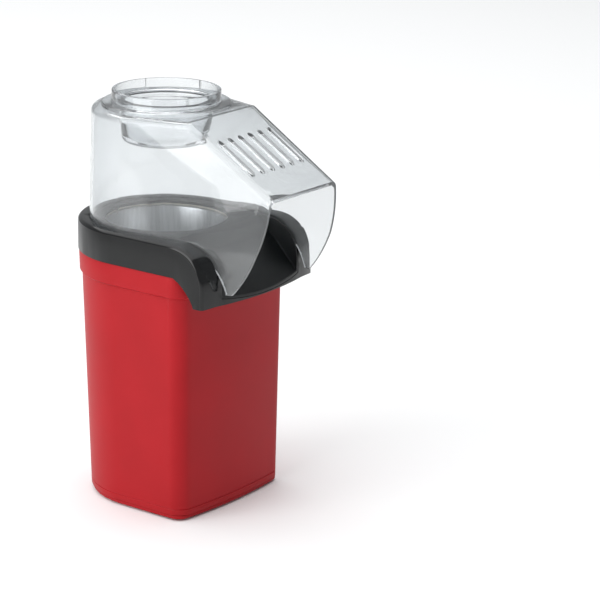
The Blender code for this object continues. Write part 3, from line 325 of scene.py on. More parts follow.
# %% [markdown]
# ## Clear SAN
# The hood and the cup are clear styrene-acrylonitrile. It has a faint cool tint, which gathers
# where the wall is seen edge on. A facing weight darkens the base colour there, partly for that
# tint and partly as painted shade for the dark edges that refraction gives a thin clear wall. Its
# index is about 1.57, but at that value a thin wall bends so much light that its edges turn black;
# 1.42 for the hood and 1.25 for the cup, which stands inside a second wall, look like the real
# plastic. A slow wave of the moulding, 60 mm long, keeps the reflections from being dead straight.


# %% Clear SAN
def clear_san(name, face, edge, rough, clearness, ior):
    made, tree, shader = new_material(name)
    rim = node(tree, "ShaderNodeLayerWeight", Blend=0.18)
    # Painted shade: the facing weight mixes from the face colour to the darker edge colour where
    # the wall is seen edge on, partly cool tint and partly edge shade.
    edge_tint_and_shade = node(tree, "ShaderNodeMix", {"Factor": rim.outputs["Facing"]}, data_type='RGBA')
    edge_tint_and_shade.inputs[6].default_value = linear(face)
    edge_tint_and_shade.inputs[7].default_value = linear(edge)
    tree.links.new(edge_tint_and_shade.outputs[2], shader.inputs["Base Color"])
    shader.inputs["Transmission Weight"].default_value = clearness
    shader.inputs["IOR"].default_value = ior
    shader.inputs["Roughness"].default_value = rough
    relief(tree, shader, pattern_place(tree), size_mm=60.0, depth_mm=0.1, detail=0.0)
    print("material:", name)
    return made


# The second colour of each is the edge colour: a cool tint with painted edge shade.
hood_clear = clear_san("clear_san_hood", "#F8FAFB", "#9AA2A8", rough=0.02, clearness=0.93, ior=1.42)
cup_clear = clear_san("clear_san_cup", "#FAFBFC", "#D5DADD", rough=0.03, clearness=0.98, ior=1.25)

# %% [markdown]
# ## Metals
# Pressed aluminium has faint drawing lines that run up the wall, so its pattern is stretched
# along Z. Zinc-plated steel is duller and more even, the heating wire is dark with oxide, and
# sintered bronze keeps the warm speckle of its powder. Metals keep the default index.

# %% Metals
METAL = {"Metallic": 1.0}
pressed_aluminium = mottled("drawn_aluminium", "#B9BBBD", "#D2D4D6", patch_mm=2.0,
                            rough=(0.26, 0.4), grain_mm=1.0, depth_mm=0.01,
                            stretch=(1.0, 1.0, 0.05), **METAL)
zinc_steel = mottled("zinc_plated_steel", "#9A9C9E", "#B4B6B8", patch_mm=6.0,
                     rough=(0.3, 0.42), grain_mm=0.8, depth_mm=0.008, **METAL)
oxidised_wire = mottled("oxidised_resistance_wire", "#55504B", "#7A746E", patch_mm=3.0,
                        rough=(0.45, 0.6), grain_mm=0.5, depth_mm=0.01, **METAL)
sintered_bronze = mottled("sintered_bronze", "#8F6A3B", "#B58A4E", patch_mm=1.0,
                          rough=(0.4, 0.55), grain_mm=0.4, depth_mm=0.02, **METAL)

# %% [markdown]
# ## Rubber, mica and the rest of the inside
# The other finishes are what such parts are: moulded rubber, flaky split mica, pressed and fired
# ferrite, lacquered circuit board, woven glass and the soft insulation of a lead.

# %% Small parts
moulded_rubber = mottled("moulded_rubber_black", "#151515", "#1E1E1E", patch_mm=8.0,
                         rough=(0.7, 0.85), grain_mm=0.5, depth_mm=0.03)
split_mica = mottled("split_mica", "#A98C5C", "#CBB07C", patch_mm=4.0,
                     rough=(0.3, 0.6), grain_mm=1.5, depth_mm=0.05)
fired_ferrite = mottled("fired_ferrite", "#303032", "#434346", patch_mm=2.0,
                        rough=(0.6, 0.75), grain_mm=0.4, depth_mm=0.02)
board_lacquer = mottled("green_board_lacquer", "#24573A", "#2F6B48", patch_mm=5.0,
                        rough=(0.3, 0.45), grain_mm=1.2, depth_mm=0.01)
woven_glass = mottled("woven_glass_fibre", "#CFCABD", "#E2DDD0", patch_mm=1.2,
                      rough=(0.8, 0.9), grain_mm=0.7, depth_mm=0.05)
silicone_lead = mottled("silicone_insulation", "#DAD5C9", "#EBE7DD", patch_mm=6.0,
                        rough=(0.5, 0.6), grain_mm=0.8, depth_mm=0.01)

SLOT_FINISH = {
    "red_plastic": red_abs, "black_plastic": black_textured, "clear_plastic": cup_clear,
    "aluminium": pressed_aluminium, "steel": zinc_steel, "rubber": moulded_rubber,
    "mica": split_mica, "wire_metal": oxidised_wire, "bronze": sintered_bronze,
    "ferrite": fired_ferrite, "board_green": board_lacquer, "seal_fibre": woven_glass,
    "lead_insulation": silicone_lead,
}

# %% [markdown]
# ## Dressing a finished piece
# A finished piece gets its material, hides the node it stands for, and rides on that node's body.

# %% Dress a piece
bodies = frame["record"]["behaviour"]["bodies"]
node_body = {member: body for body, members in bodies.items() for member in members}
node_slot = {entry["node"]: entry["material_slot"] for entry in frame["record"]["subparts"]}
finished_nodes = set()


def dress(piece, finish, node_name):
    piece.data.materials.clear()
    piece.data.materials.append(finish)
    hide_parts(node_name)
    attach(piece, node_body[node_name])
    finished_nodes.add(node_name)
    print(piece.name, "faces:", len(piece.data.polygons))


# %% [markdown]
# ## The plan shape shared by body and collar
# Seen from above, body and collar are round at the back, straight at the sides and gently bowed at
# the front. An outline could be drawn as a curve and filled, but its corners would then be hard to
# change. Here half a cylinder gives the back, extruding its cut face gives the sides, the columns
# of the front face are moved out for the bow, and a bevel rounds the two front corners last.


# %% D-shaped block
CUT_Y = AXIS_Y - 0.2 * MM
BOW_COLUMNS = 15


def round_back(name, radius, low, high):
    """Half a cylinder on the axis, left in edit mode with its flat cut face picked."""
    block = barrel(name, radius, low, high, (0.0, AXIS_Y))
    open_mesh(block)
    slice_all((0.0, CUT_Y, 0.0), (0.0, 1.0, 0.0), clear='back', fill=True)
    pick('FACE', lambda middle, normal: normal.y < -0.9 and abs(middle.y - CUT_Y) < NEAR)
    return block


def d_block(name, radius, front, corner, bow, low, high):
    block = round_back(name, radius, low, high)
    face_y = AXIS_Y - front + bow
    push((0.0, face_y - CUT_Y, 0.0))
    half = radius - corner - 3.0 * MM
    columns = [half * (2.0 * i / (BOW_COLUMNS - 1) - 1.0) for i in range(BOW_COLUMNS)]
    for x in columns:
        slice_all((x, 0.0, 0.0), (1.0, 0.0, 0.0))
    for x in columns:
        pick('VERT', lambda at, normal: abs(at.x - x) < NEAR and abs(at.y - face_y) < NEAR)
        bpy.ops.transform.translate(value=(0.0, -bow * (1.0 - (x / radius) ** 2), 0.0))
    pick('EDGE', lambda middle, way: abs(way.z) > 0.9 and abs(abs(middle.x) - radius) < NEAR
         and abs(middle.y - face_y) < NEAR)
    bpy.ops.mesh.bevel(offset=corner, segments=8, profile=0.44, affect='EDGES',
                       clamp_overlap=False)
    close_mesh()
    return block


# %% [markdown]
# ## The body shell
# The red body is one tapered moulding: its foot ring is smaller and sits a little further forward
# than its top. Two outlines could be bridged, but then body and collar would no longer share one
# plan, so the straight block's ends are deleted and its foot ring is scaled and slid instead.

# %% Body block and its taper
BODY_RADIUS, BODY_FRONT, BODY_CORNER, BODY_BOW = 60.0 * MM, 65.0 * MM, 9.0 * MM, 4.5 * MM
FOOT_RADIUS, FOOT_FRONT, LEAN = 57.3 * MM, 63.4 * MM, 5.0 * MM
BODY_BLOCK_TOP = 184.0 * MM

body = d_block("body_moulding", BODY_RADIUS, BODY_FRONT, BODY_CORNER, BODY_BOW,
               shell_low.z, BODY_BLOCK_TOP)
open_mesh(body)
pick('FACE', lambda middle, normal: abs(normal.z) > 0.9)
bpy.ops.mesh.delete(type='FACE')
pick('VERT', lambda at, normal: at.z < shell_low.z + NEAR)
depth_scale = (FOOT_RADIUS - LEAN + FOOT_FRONT) / (BODY_RADIUS + BODY_FRONT)
slide = FOOT_RADIUS - LEAN - depth_scale * BODY_RADIUS
scale_plan(FOOT_RADIUS / BODY_RADIUS, depth_scale, shell_low.z)
bpy.ops.transform.translate(value=(0.0, slide, 0.0))
print("foot ring slid by, mm:", round(slide / MM, 2))

# %% [markdown]
# A fine groove near the bottom shows where the base plate meets the body, and a band 1.7 mm proud
# runs round the top, where the collar grips. Both are rings cut into the wall and then scaled. The
# rings and slices between them keep the long side faces small, so that they shade evenly. Under
# the chute the upper edge falls away, and Solidify gives the wall its thickness.

# %% Groove, band and wall
GROOVE_Z, GROOVE_SCALE = 8.5 * MM, 0.993
STEP_Z, BAND_PROUD = 162.0 * MM, 1.7 * MM
EDGE_Z = shell_high.z
DIP_START, DIP_NORMAL = AXIS_Y - 57.3 * MM, (0.0, -0.62, 0.785)
BODY_WALL = 2.5 * MM

slice_levels((40.0, 80.0, 120.0, 161.2, 162.6))
slice_levels((8.0, 8.5, 9.0))
for ahead in (49.5 * MM, 6.0 * MM):
    slice_all((0.0, AXIS_Y - ahead, 0.0), (0.0, 1.0, 0.0))
pick('VERT', lambda at, normal: abs(at.z - GROOVE_Z) < NEAR)
scale_plan(GROOVE_SCALE, GROOVE_SCALE, GROOVE_Z)
pick('VERT', lambda at, normal: at.z > STEP_Z)
band = 1.0 + BAND_PROUD / BODY_RADIUS
scale_plan(band, band, STEP_Z)
slice_all((0.0, 0.0, EDGE_Z), (0.0, 0.0, 1.0), clear='front')
slice_all((0.0, DIP_START, EDGE_Z), DIP_NORMAL, clear='front')
close_mesh()
wall = body.modifiers.new("wall", 'SOLIDIFY')
wall.thickness = BODY_WALL
wall.offset = -1.0
apply_modifiers(body)
print("body with its wall, faces:", len(body.data.polygons))

# %% [markdown]
# The rear carries a flat recessed pad for the switch and the cord outlet. A block trimmed to the
# body's round back closes the recess from inside; then the recess, the switch window and the
# round hole are cut. Cutting real openings, not painting them, lets the two parts sit in them.

# %% Rear pad
switch_low, switch_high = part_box("switch_housing")
gland_low, gland_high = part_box("cord_gland")
PAD_FACE = switch_high.y - 1.7 * MM
PAD_HALF, PAD_WALL = 19.5 * MM, 2.9 * MM
WINDOW_HALF, WINDOW_MARGIN = 6.7 * MM, 0.9 * MM
HOLE_RADIUS = 5.3 * MM

pad = brick("pad", (-PAD_HALF, PAD_FACE - PAD_WALL, 6.0 * MM), (PAD_HALF, shell_high.y, 49.0 * MM))
trim = d_block("trim", 57.0 * MM, 60.0 * MM, BODY_CORNER, BODY_BOW, 2.0 * MM, 60.0 * MM)
shift(trim, (0.0, -3.8 * MM, 0.0))
boolean(pad, trim, 'INTERSECT')
boolean(body, pad, 'UNION')
behind = shell_high.y + 20.0 * MM
boolean(body, brick("recess", (-40.0 * MM, PAD_FACE, 8.0 * MM), (40.0 * MM, behind, 47.0 * MM)),
        'DIFFERENCE')
window = brick("window", (-WINDOW_HALF, PAD_FACE - 10.0 * MM, switch_low.z + WINDOW_MARGIN),
               (WINDOW_HALF, behind, switch_high.z - WINDOW_MARGIN))
boolean(body, window, 'DIFFERENCE')
hole = barrel("hole", HOLE_RADIUS, -20.0 * MM, 20.0 * MM, turn=(math.radians(90.0), 0.0, 0.0),
              sides=48)
shift(hole, (0.0, PAD_FACE, (gland_low.z + gland_high.z) / 2.0))
boolean(body, hole, 'DIFFERENCE')
round_edges(body, 0.45 * MM, 2, 50.0)
smooth(body, 32.0)
dress(body, red_abs, "body_shell")

# %% [markdown]
# ## Blocks that follow the hood's plan
# Hood, tray and their seats share a second plan: round at the back, with sides that converge
# towards the front. The same half cylinder is extruded forwards and its end is narrowed.


# %% Funnel-shaped block
def funnel_block(name, radius, front, low, high, taper=0.1):
    block = round_back(name, radius, low, high)
    push((0.0, AXIS_Y - front - CUT_Y, 0.0))
    scale_plan((radius - taper * front) / radius, 1.0)
    close_mesh()
    return block


# %% [markdown]
# Collar, tray and hood also share one side view, whose upper front edge is a big quarter-round,
# slightly bowed across the machine. A bar with one bevelled edge is that side view as a solid: an
# intersection keeps what is under it, and a difference takes it away.


# %% Nose block
NOSE_CENTRE = 49.0 * MM
BOW_HALF, BOW_STEP = 48, 8
BOW_WIDTH = 62.0 * MM


def nose_block(name, reach, height, low, roundness=0.5, bow=0.0):
    """A bar across the machine whose front upper edge is one big quarter-round."""
    centre_y = AXIS_Y - NOSE_CENTRE
    size = min(reach - NOSE_CENTRE, height - low)
    block = brick(name, (-PAST_SIDE, AXIS_Y - reach, low), (PAST_SIDE, AXIS_Y + PAST_SIDE, height))
    open_mesh(block)
    pick('EDGE', lambda middle, way: abs(way.x) > 0.9 and middle.y < centre_y
         and middle.z > height - 1.0 * MM)
    bpy.ops.mesh.bevel(offset=size * 0.995, segments=28, profile=roundness, affect='EDGES',
                       clamp_overlap=False)
    columns = [x * MM for x in range(-BOW_HALF, BOW_HALF + 1, BOW_STEP)] if bow else []
    for x in columns:
        slice_all((x, 0.0, 0.0), (1.0, 0.0, 0.0))
    for x in columns:
        pick('VERT', lambda at, normal: abs(at.x - x) < NEAR and at.y < centre_y + NEAR)
        bpy.ops.transform.translate(value=(0.0, -bow * (1.0 - (x / BOW_WIDTH) ** 2), 0.0))
    close_mesh()
    return block


# %% [markdown]
# ## The collar
# The black collar wraps the top of the body and reaches forward in two round cheeks beside the
# chute. It could be lofted from sections, but its cheeks, its lower edge and its seats are easier
# to keep true to their neighbours as cuts. First comes the outside: the plan, the side view, one
# wide soft bevel over the edge between them, and a lower edge that drops in a curve at the front.

# %% Collar outside
COLLAR_RADIUS, CREST = collar_high.x, collar_high.z
COLLAR_REACH, COLLAR_BOW, COLLAR_ROUND = 79.5 * MM, 8.5 * MM, 0.56
COLLAR_EDGE, COLLAR_WALL = 177.5 * MM, 2.6 * MM
TRAY_RADIUS = 50.8 * MM
SIDE_VIEW_LOW = 120.0 * MM

collar = funnel_block("collar_moulding", COLLAR_RADIUS, 100.0 * MM, 135.0 * MM, CREST + 8.0 * MM,
                      taper=0.0)
side_view = nose_block("side_view", COLLAR_REACH, CREST, SIDE_VIEW_LOW, COLLAR_ROUND, COLLAR_BOW)
boolean(collar, side_view, 'INTERSECT')
round_edges(collar, 9.0 * MM, 8, 50.0, profile=0.38)


def under_block(name, reach, top):
    """Everything below the collar's lower edge, which falls away in a curve at the front."""
    block = brick(name, (-PAST_SIDE, AXIS_Y - reach, 100.0 * MM),
                  (PAST_SIDE, AXIS_Y + PAST_SIDE, top))
    open_mesh(block)
    pick('EDGE', lambda middle, way: abs(way.x) > 0.9 and middle.y < AXIS_Y - 60.0 * MM
         and middle.z > 170.0 * MM)
    bpy.ops.mesh.bevel(offset=17.5 * MM, segments=5, profile=0.34, affect='EDGES',
                       clamp_overlap=False)
    close_mesh()
    return block


boolean(collar, under_block("under", 74.0 * MM, COLLAR_EDGE), 'DIFFERENCE')
cheek_floor = collar_low.z + 1.5 * MM
floor_cut = brick("floor_cut", (-PAST_SIDE, AXIS_Y - 120.0 * MM, 100.0 * MM),
                  (PAST_SIDE, AXIS_Y + PAST_SIDE, cheek_floor))
boolean(collar, floor_cut, 'DIFFERENCE')
print("collar outside, faces:", len(collar.data.polygons))

# %% [markdown]
# A moulding has thin walls, so the inside is taken out next. The hollow follows the outside one
# wall smaller, in plan, in side view and along the lower edge. The throat lets the body's rim in,
# and the opening lets the tray and the chamber through.

# %% Collar inside
hollow = d_block("hollow", COLLAR_RADIUS - 2.8 * MM, 80.5 * MM, 12.2 * MM, BODY_BOW, 161.2 * MM,
                 CREST)
hollow_side = nose_block("hollow_side", 76.5 * MM, CROWN - 3.4 * MM, SIDE_VIEW_LOW, 0.54)
boolean(hollow, hollow_side, 'INTERSECT')
boolean(hollow, under_block("under_hollow", 72.0 * MM, COLLAR_EDGE + COLLAR_WALL), 'DIFFERENCE')
boolean(collar, hollow, 'DIFFERENCE')
throat = d_block("throat", 58.5 * MM, 63.5 * MM, 7.0 * MM, 4.0 * MM, 140.0 * MM, CROWN - 4.2 * MM)
boolean(collar, throat, 'DIFFERENCE')
opening = funnel_block("opening", TRAY_RADIUS - 1.3 * MM, 75.0 * MM, 100.0 * MM, PAST_TOP)
boolean(collar, opening, 'DIFFERENCE')
print("collar hollowed, faces:", len(collar.data.polygons))

# %% [markdown]
# The tray's pocket slopes forward under the chute, and the hood's seat follows the crown of the
# cheeks. Each is a funnel block trimmed by the same solid that the neighbour is trimmed by, so
# the gap between the pieces stays even.

# %% Seats in the collar
SLOPE_START, SLOPE = 46.5 * MM, 0.9


def below_chute(name, lift):
    """A solid that fills everything under the deck line and the sloping chute floor."""
    block = brick(name, (-PAST_SIDE, AXIS_Y - 130.0 * MM, 20.0 * MM),
                  (PAST_SIDE, AXIS_Y + PAST_SIDE, DECK + lift))
    open_mesh(block)
    slice_all((0.0, AXIS_Y - SLOPE_START, DECK + lift), (0.0, SLOPE, -1.0), clear='back',
              fill=True)
    close_mesh()
    return block


pocket = funnel_block("pocket", TRAY_RADIUS + 0.3 * MM, PAST_FRONT, 100.0 * MM, PAST_TOP)
boolean(pocket, below_chute("pocket_floor", -2.3 * MM), 'DIFFERENCE')
boolean(collar, pocket, 'DIFFERENCE')
seat = funnel_block("seat", 54.5 * MM, PAST_FRONT, 160.0 * MM, PAST_TOP)
seat_side = nose_block("seat_side", 91.0 * MM, CROWN - 0.3 * MM, 100.0 * MM)
boolean(seat, seat_side, 'DIFFERENCE')
boolean(collar, seat, 'DIFFERENCE')
round_edges(collar, 0.5 * MM, 2, 32.0)
smooth(collar, 30.0)
dress(collar, black_polished, "collar")

# %% [markdown]
# The upright outside of the collar is satin and the rest is polished. A second material slot goes
# to the faces that stand upright on the outline.

# %% Satin outside of the collar
collar.data.materials.append(black_satin)
for face in collar.data.polygons:
    out = Vector((face.normal.x, face.normal.y, 0.0))
    place = Vector((face.center.x, max(face.center.y - AXIS_Y, 0.0), 0.0))
    if out.dot(place.normalized()) > 0.985 and place.length > COLLAR_RADIUS - 0.6 * MM:
        face.material_index = 1
print("satin faces:", sum(face.material_index for face in collar.data.polygons))

# %% [markdown]
# ## The chute tray
# Deck and chute are one moulding: a flat ring round the chamber mouth that runs into a sloping
# channel with low walls. It is the funnel block between two side views, with the channel cut out.
# The same solids cut the collar's pocket, so tray and collar fit each other by construction.

# %% Chute tray
TRAY_WALL = 2.0 * MM
MOUTH_RADIUS = 43.0 * MM

tray = funnel_block("chute_tray_moulding", TRAY_RADIUS, 88.0 * MM, 140.0 * MM, DECK)
tray_side = nose_block("tray_side", COLLAR_REACH - 0.2 * MM, DECK, SIDE_VIEW_LOW, COLLAR_ROUND,
                       COLLAR_BOW)
boolean(tray, tray_side, 'INTERSECT')
boolean(tray, below_chute("tray_under", -TRAY_WALL), 'DIFFERENCE')
channel = funnel_block("channel", TRAY_RADIUS - TRAY_WALL, 130.0 * MM, 120.0 * MM, PAST_TOP)
boolean(channel, below_chute("channel_floor", 0.0), 'DIFFERENCE')
boolean(tray, channel, 'DIFFERENCE')
boolean(tray, barrel("mouth", MOUTH_RADIUS, 150.0 * MM, 250.0 * MM, (0.0, AXIS_Y)), 'DIFFERENCE')
round_edges(tray, 0.5 * MM, 2, 32.0)
smooth(tray, 30.0)
dress(tray, black_textured, "chute_tray")

# %% [markdown]
# ## The hood
# The hood is one clear moulding: a cylinder that opens forward under a sloping roof. It could be
# built from flat panels with a wall, but a closed block is easier to keep watertight. The funnel
# block gets its levels and stops, and each level leans inwards, as every moulding does to leave
# its mould; the sides lean further towards the front, where they turn into the roof's edges.

# %% Leaning the sides
HOOD_RADIUS, HOOD_REACH, HOOD_WALL = 54.0 * MM, 132.0 * MM, 2.2 * MM
ROOF_TOP, WAIST_Z = 279.0 * MM, 240.0 * MM
CREASE = 48.8 * MM
LIP_REACH, LIP_Z = 119.0 * MM, 236.4 * MM
DRAFT = 2.0 * MM


def lean_in(z, share, radius):
    """Draw one level in all round, and its sides further towards the front."""
    draw = 1.0 - DRAFT * share / radius
    pick('VERT', lambda at, normal: abs(at.z - z) < NEAR)
    scale_plan(draw, draw, z)
    for stop, lean in ((CREASE / 2.0, 4.5), (CREASE, 9.0), (HOOD_REACH, 9.0)):
        squeeze = 1.0 - lean * MM * share / (radius - 0.1 * stop)
        pick('VERT', lambda at, normal: abs(at.z - z) < NEAR
             and abs(at.y - AXIS_Y + stop * draw) < 1.5 * MM)
        scale_plan(squeeze, 1.0, z)


# %% [markdown]
# A plane then cuts the sloping roof, and the loop round flat roof and slope gets a bevel. The same
# steps one wall smaller give the inside. An arc seen from the side trims the mouth.


# %% Hood block
def hood_block(name, inset, low, rounding):
    radius = HOOD_RADIUS - inset
    top = ROOF_TOP - inset
    block = funnel_block(name, radius, HOOD_REACH, low, top)
    open_mesh(block)
    for ahead in (CREASE, CREASE / 2.0):
        slice_all((0.0, AXIS_Y - ahead, 0.0), (0.0, 1.0, 0.0))
    for z in (CROWN, WAIST_Z):
        slice_all((0.0, 0.0, z), (0.0, 0.0, 1.0))
    lean_in(WAIST_Z, 0.52, radius)
    lean_in(top, 1.0, radius)
    roof_slope = (ROOF_TOP - LIP_Z) / (LIP_REACH - CREASE)
    slice_all((0.0, AXIS_Y - CREASE, ROOF_TOP - inset * 1.17), (0.0, -roof_slope, 1.0),
              clear='front', fill=True)
    pick('FACE', lambda middle, normal: normal.z > 0.5)
    bpy.ops.mesh.region_to_loop()
    bpy.ops.mesh.bevel(offset=rounding, segments=6, affect='EDGES')
    bpy.ops.mesh.select_all(action='SELECT')
    bpy.ops.mesh.remove_doubles(threshold=0.02 * MM)
    close_mesh()
    return block


hood = hood_block("hood_moulding", 0.0, hood_low.z, 4.0 * MM)
mouth_arc = barrel("mouth_arc", 101.7 * MM, -PAST_SIDE, PAST_SIDE,
                   turn=(0.0, math.radians(90.0), 0.0), sides=160)
shift(mouth_arc, (0.0, AXIS_Y - 17.3 * MM, LIP_Z - 0.9 * MM))
boolean(hood, mouth_arc, 'INTERSECT')
print("hood outside, faces:", len(hood.data.polygons))

# %% [markdown]
# The plinth and the ring on top hold the measuring cup. They are a cylinder whose top is inset
# and extruded; the round edges are bevelled before the ring is joined to the roof, because a
# Boolean leaves edges there that a bevel can't follow.

# %% Ring on the hood
PLINTH_RADIUS, PLINTH_HEIGHT = 45.0 * MM, 2.5 * MM
RING_STEP = 7.0 * MM
BORE_RADIUS, COUNTERBORE_RADIUS = 33.1 * MM, 35.6 * MM
plinth_top = ROOF_TOP + PLINTH_HEIGHT

ring = barrel("ring", PLINTH_RADIUS, ROOF_TOP - 1.0 * MM, plinth_top, (0.0, AXIS_Y))
open_mesh(ring)
pick('FACE', lambda middle, normal: normal.z > 0.9)
bpy.ops.mesh.inset(thickness=RING_STEP)
push((0.0, 0.0, hood_high.z - plinth_top))
pick('EDGE', lambda middle, way: abs(way.z) < 0.1 and middle.z > ROOF_TOP + 2.0 * MM
     and math.hypot(middle.x, middle.y - AXIS_Y) > PLINTH_RADIUS - RING_STEP - 1.0 * MM)
bpy.ops.mesh.bevel(offset=0.8 * MM, segments=3, affect='EDGES')
close_mesh()
boolean(hood, ring, 'UNION')
boolean(hood, hood_block("inside", HOOD_WALL, 140.0 * MM, 3.0 * MM), 'DIFFERENCE')
boolean(hood, barrel("bore", BORE_RADIUS, 250.0 * MM, PAST_TOP, (0.0, AXIS_Y)), 'DIFFERENCE')
counterbore = barrel("counterbore", COUNTERBORE_RADIUS, plinth_top, PAST_TOP, (0.0, AXIS_Y))
boolean(hood, counterbore, 'DIFFERENCE')
print("hood with its ring, faces:", len(hood.data.polygons))

# %% [markdown]
# The hood's lower edge follows the crown of the cheeks, so the shared side view cuts it. Its two
# front tips are blunt, not knife-sharp, and four small notches in the ring's rim let steam past
# the cup. Each of these is one more solid taken away from the finished block.

# %% Lower edge, tips and notches
boolean(hood, nose_block("lower_edge", 91.0 * MM, CROWN, 100.0 * MM), 'DIFFERENCE')
tips = brick("tips", (-PAST_SIDE, AXIS_Y - 130.0 * MM, 100.0 * MM),
             (PAST_SIDE, AXIS_Y, hood_low.z + 2.4 * MM))
boolean(hood, tips, 'DIFFERENCE')
to_axis = Matrix.Translation((0.0, AXIS_Y, 0.0))
for angle in (64.5, -1.7, 150.0, 242.0):
    notch = brick("notch", (34.0 * MM, -0.7 * MM, ROOF_TOP + 5.0 * MM),
                  (36.7 * MM, 0.7 * MM, PAST_TOP))
    notch.data.transform(to_axis @ Matrix.Rotation(math.radians(angle), 4, 'Z'))
    boolean(hood, notch, 'DIFFERENCE')
print("hood trimmed, faces:", len(hood.data.polygons))

# %% [markdown]
# Six vents let the steam out. One slot is a small block with its four upright edges bevelled
# round; the others are copies.

# %% Vent slots
VENT_COUNT, VENT_PITCH, VENT_HALF = 6, 10.8 * MM, 2.15 * MM

slot = brick("vent", (-VENT_HALF, AXIS_Y - 98.0 * MM, 220.0 * MM),
             (VENT_HALF, AXIS_Y - 67.5 * MM, PAST_TOP))
open_mesh(slot)
pick('EDGE', lambda middle, way: abs(way.z) > 0.9)
bpy.ops.mesh.bevel(offset=VENT_HALF - 0.05 * MM, segments=6, affect='EDGES')
close_mesh()
for i in range(VENT_COUNT):
    cutter = copied(slot, f"vent_{i + 1}")
    shift(cutter, ((i - (VENT_COUNT - 1) / 2.0) * VENT_PITCH, 0.0, 0.0))
    boolean(hood, cutter, 'DIFFERENCE')
bpy.data.objects.remove(slot, do_unlink=True)
round_edges(hood, 0.35 * MM, 2, 48.0)
smooth(hood, 40.0)
dress(hood, hood_clear, "hood")

# %% [markdown]
# ## The measuring cup
# A shallow clear cup hangs in the ring by its rim and closes the top. A spun profile would do too,
# but extruding keeps each step in sight: the body is a cylinder with a bevelled foot, the rim is
# extruded outwards, and the inside is inset and pushed down.

# %% Measuring cup
cup_low, cup_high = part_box("measuring_cup")
CUP_RADIUS, RIM_HEIGHT, RIM_START = 32.6 * MM, 2.0 * MM, 0.01 * MM
rim_z = cup_high.z - RIM_HEIGHT
rim_scale = cup_high.x / CUP_RADIUS

cup = barrel("cup_moulding", CUP_RADIUS, cup_low.z, rim_z, (0.0, AXIS_Y), sides=96)
open_mesh(cup)
pick('FACE', lambda middle, normal: normal.z < -0.9)
scale_plan(0.94, 0.94, cup_low.z)
bpy.ops.mesh.bevel(offset=3.0 * MM, segments=5, affect='EDGES')
pick('FACE', lambda middle, normal: normal.z > 0.9)
push((0.0, 0.0, RIM_START))
scale_plan(rim_scale, rim_scale, rim_z)
push((0.0, 0.0, cup_high.z - rim_z - RIM_START))
bpy.ops.mesh.inset(thickness=4.1 * MM)
push((0.0, 0.0, cup_low.z + 5.0 * MM - cup_high.z))
scale_plan(0.95, 0.95, cup_low.z)
bpy.ops.mesh.inset(thickness=3.0 * MM)
bpy.ops.transform.translate(value=(0.0, 0.0, -3.2 * MM))
close_mesh()
round_edges(cup, 0.4 * MM, 2, 50.0)
smooth(cup, 40.0)
dress(cup, cup_clear, "measuring_cup")

# %% [markdown]
# ## The popping chamber
# The chamber is a deep-drawn aluminium cup with a flange. It shows through the hood, so it gets a
# finer mesh than the frame's, made in the same steps as the measuring cup.

# %% Popping chamber
CHAMBER_RADIUS, FLANGE_RADIUS, FLANGE_HEIGHT = 42.0 * MM, 46.0 * MM, 1.0 * MM
flange_scale = FLANGE_RADIUS / CHAMBER_RADIUS

chamber = barrel("chamber_pressing", CHAMBER_RADIUS, chamber_low.z, chamber_high.z - FLANGE_HEIGHT,
                 (0.0, AXIS_Y))
open_mesh(chamber)
pick('EDGE', lambda middle, way: middle.z < chamber_low.z + NEAR)
bpy.ops.mesh.bevel(offset=4.0 * MM, segments=5, affect='EDGES')
pick('FACE', lambda middle, normal: normal.z > 0.9)
push((0.0, 0.0, RIM_START))
scale_plan(flange_scale, flange_scale)
push((0.0, 0.0, FLANGE_HEIGHT - RIM_START))
bpy.ops.mesh.inset(thickness=5.0 * MM)
push((0.0, 0.0, chamber_low.z + 4.5 * MM - chamber_high.z))
bpy.ops.mesh.inset(thickness=3.5 * MM)
bpy.ops.transform.translate(value=(0.0, 0.0, -3.5 * MM))
close_mesh()
print("chamber pressed, faces:", len(chamber.data.polygons))

# %% [markdown]
# Slanted louvres low in the wall turn the hot air into a whirl. One cutter is tilted and copied
# round the axis.

# %% Louvres
LOUVRE_COUNT, LOUVRE_TILT, LOUVRE_LIFT = 12, math.radians(28.0), 13.0 * MM

louvre = brick("louvre", (-1.1 * MM, 38.0 * MM, -5.5 * MM), (1.1 * MM, 45.0 * MM, 5.5 * MM))
lift = Matrix.Translation((0.0, 0.0, chamber_low.z + LOUVRE_LIFT))
for i in range(LOUVRE_COUNT):
    cutter = copied(louvre, f"louvre_{i + 1}")
    turn = Matrix.Rotation(2.0 * math.pi * i / LOUVRE_COUNT, 4, 'Z')
    cutter.data.transform(to_axis @ turn @ lift @ Matrix.Rotation(LOUVRE_TILT, 4, 'Y'))
    boolean(chamber, cutter, 'DIFFERENCE')
bpy.data.objects.remove(louvre, do_unlink=True)
round_edges(chamber, 0.25 * MM, 2, 50.0)
smooth(chamber, 40.0)
dress(chamber, pressed_aluminium, "popping_chamber")

# %% [markdown]
# ## Small parts carried over from the frame
# The feet, screws, gland, switch and everything inside already have the right shape. Each is
# copied, its loose triangles are merged into clean faces, and the parts that a hand or an eye
# comes near get a small round on their edges.

# %% Refined copies
SOFT_EDGES = {"base_plate": 0.4, "cord_gland": 0.35, "switch_housing": 0.4, "switch_rocker": 0.5}


def refined(node_name):
    piece = copied(frame["nodes"][node_name], node_name + "_finished")
    piece.parent = None
    for key in list(piece.keys()):
        del piece[key]
    open_mesh(piece)
    bpy.ops.mesh.remove_doubles(threshold=0.01 * MM)
    bpy.ops.mesh.dissolve_limited(angle_limit=math.radians(1.0))
    close_mesh()
    if node_name in SOFT_EDGES:
        round_edges(piece, SOFT_EDGES[node_name] * MM, 2, 40.0)
    smooth(piece, 38.0)
    dress(piece, SLOT_FINISH[node_slot[node_name]], node_name)


for node_name in sorted(set(frame["nodes"]) - finished_nodes):
    refined(node_name)

# %% [markdown]
# ## Floor
# The floor is plain, pale and matt, so that it takes a soft shadow and nothing else.

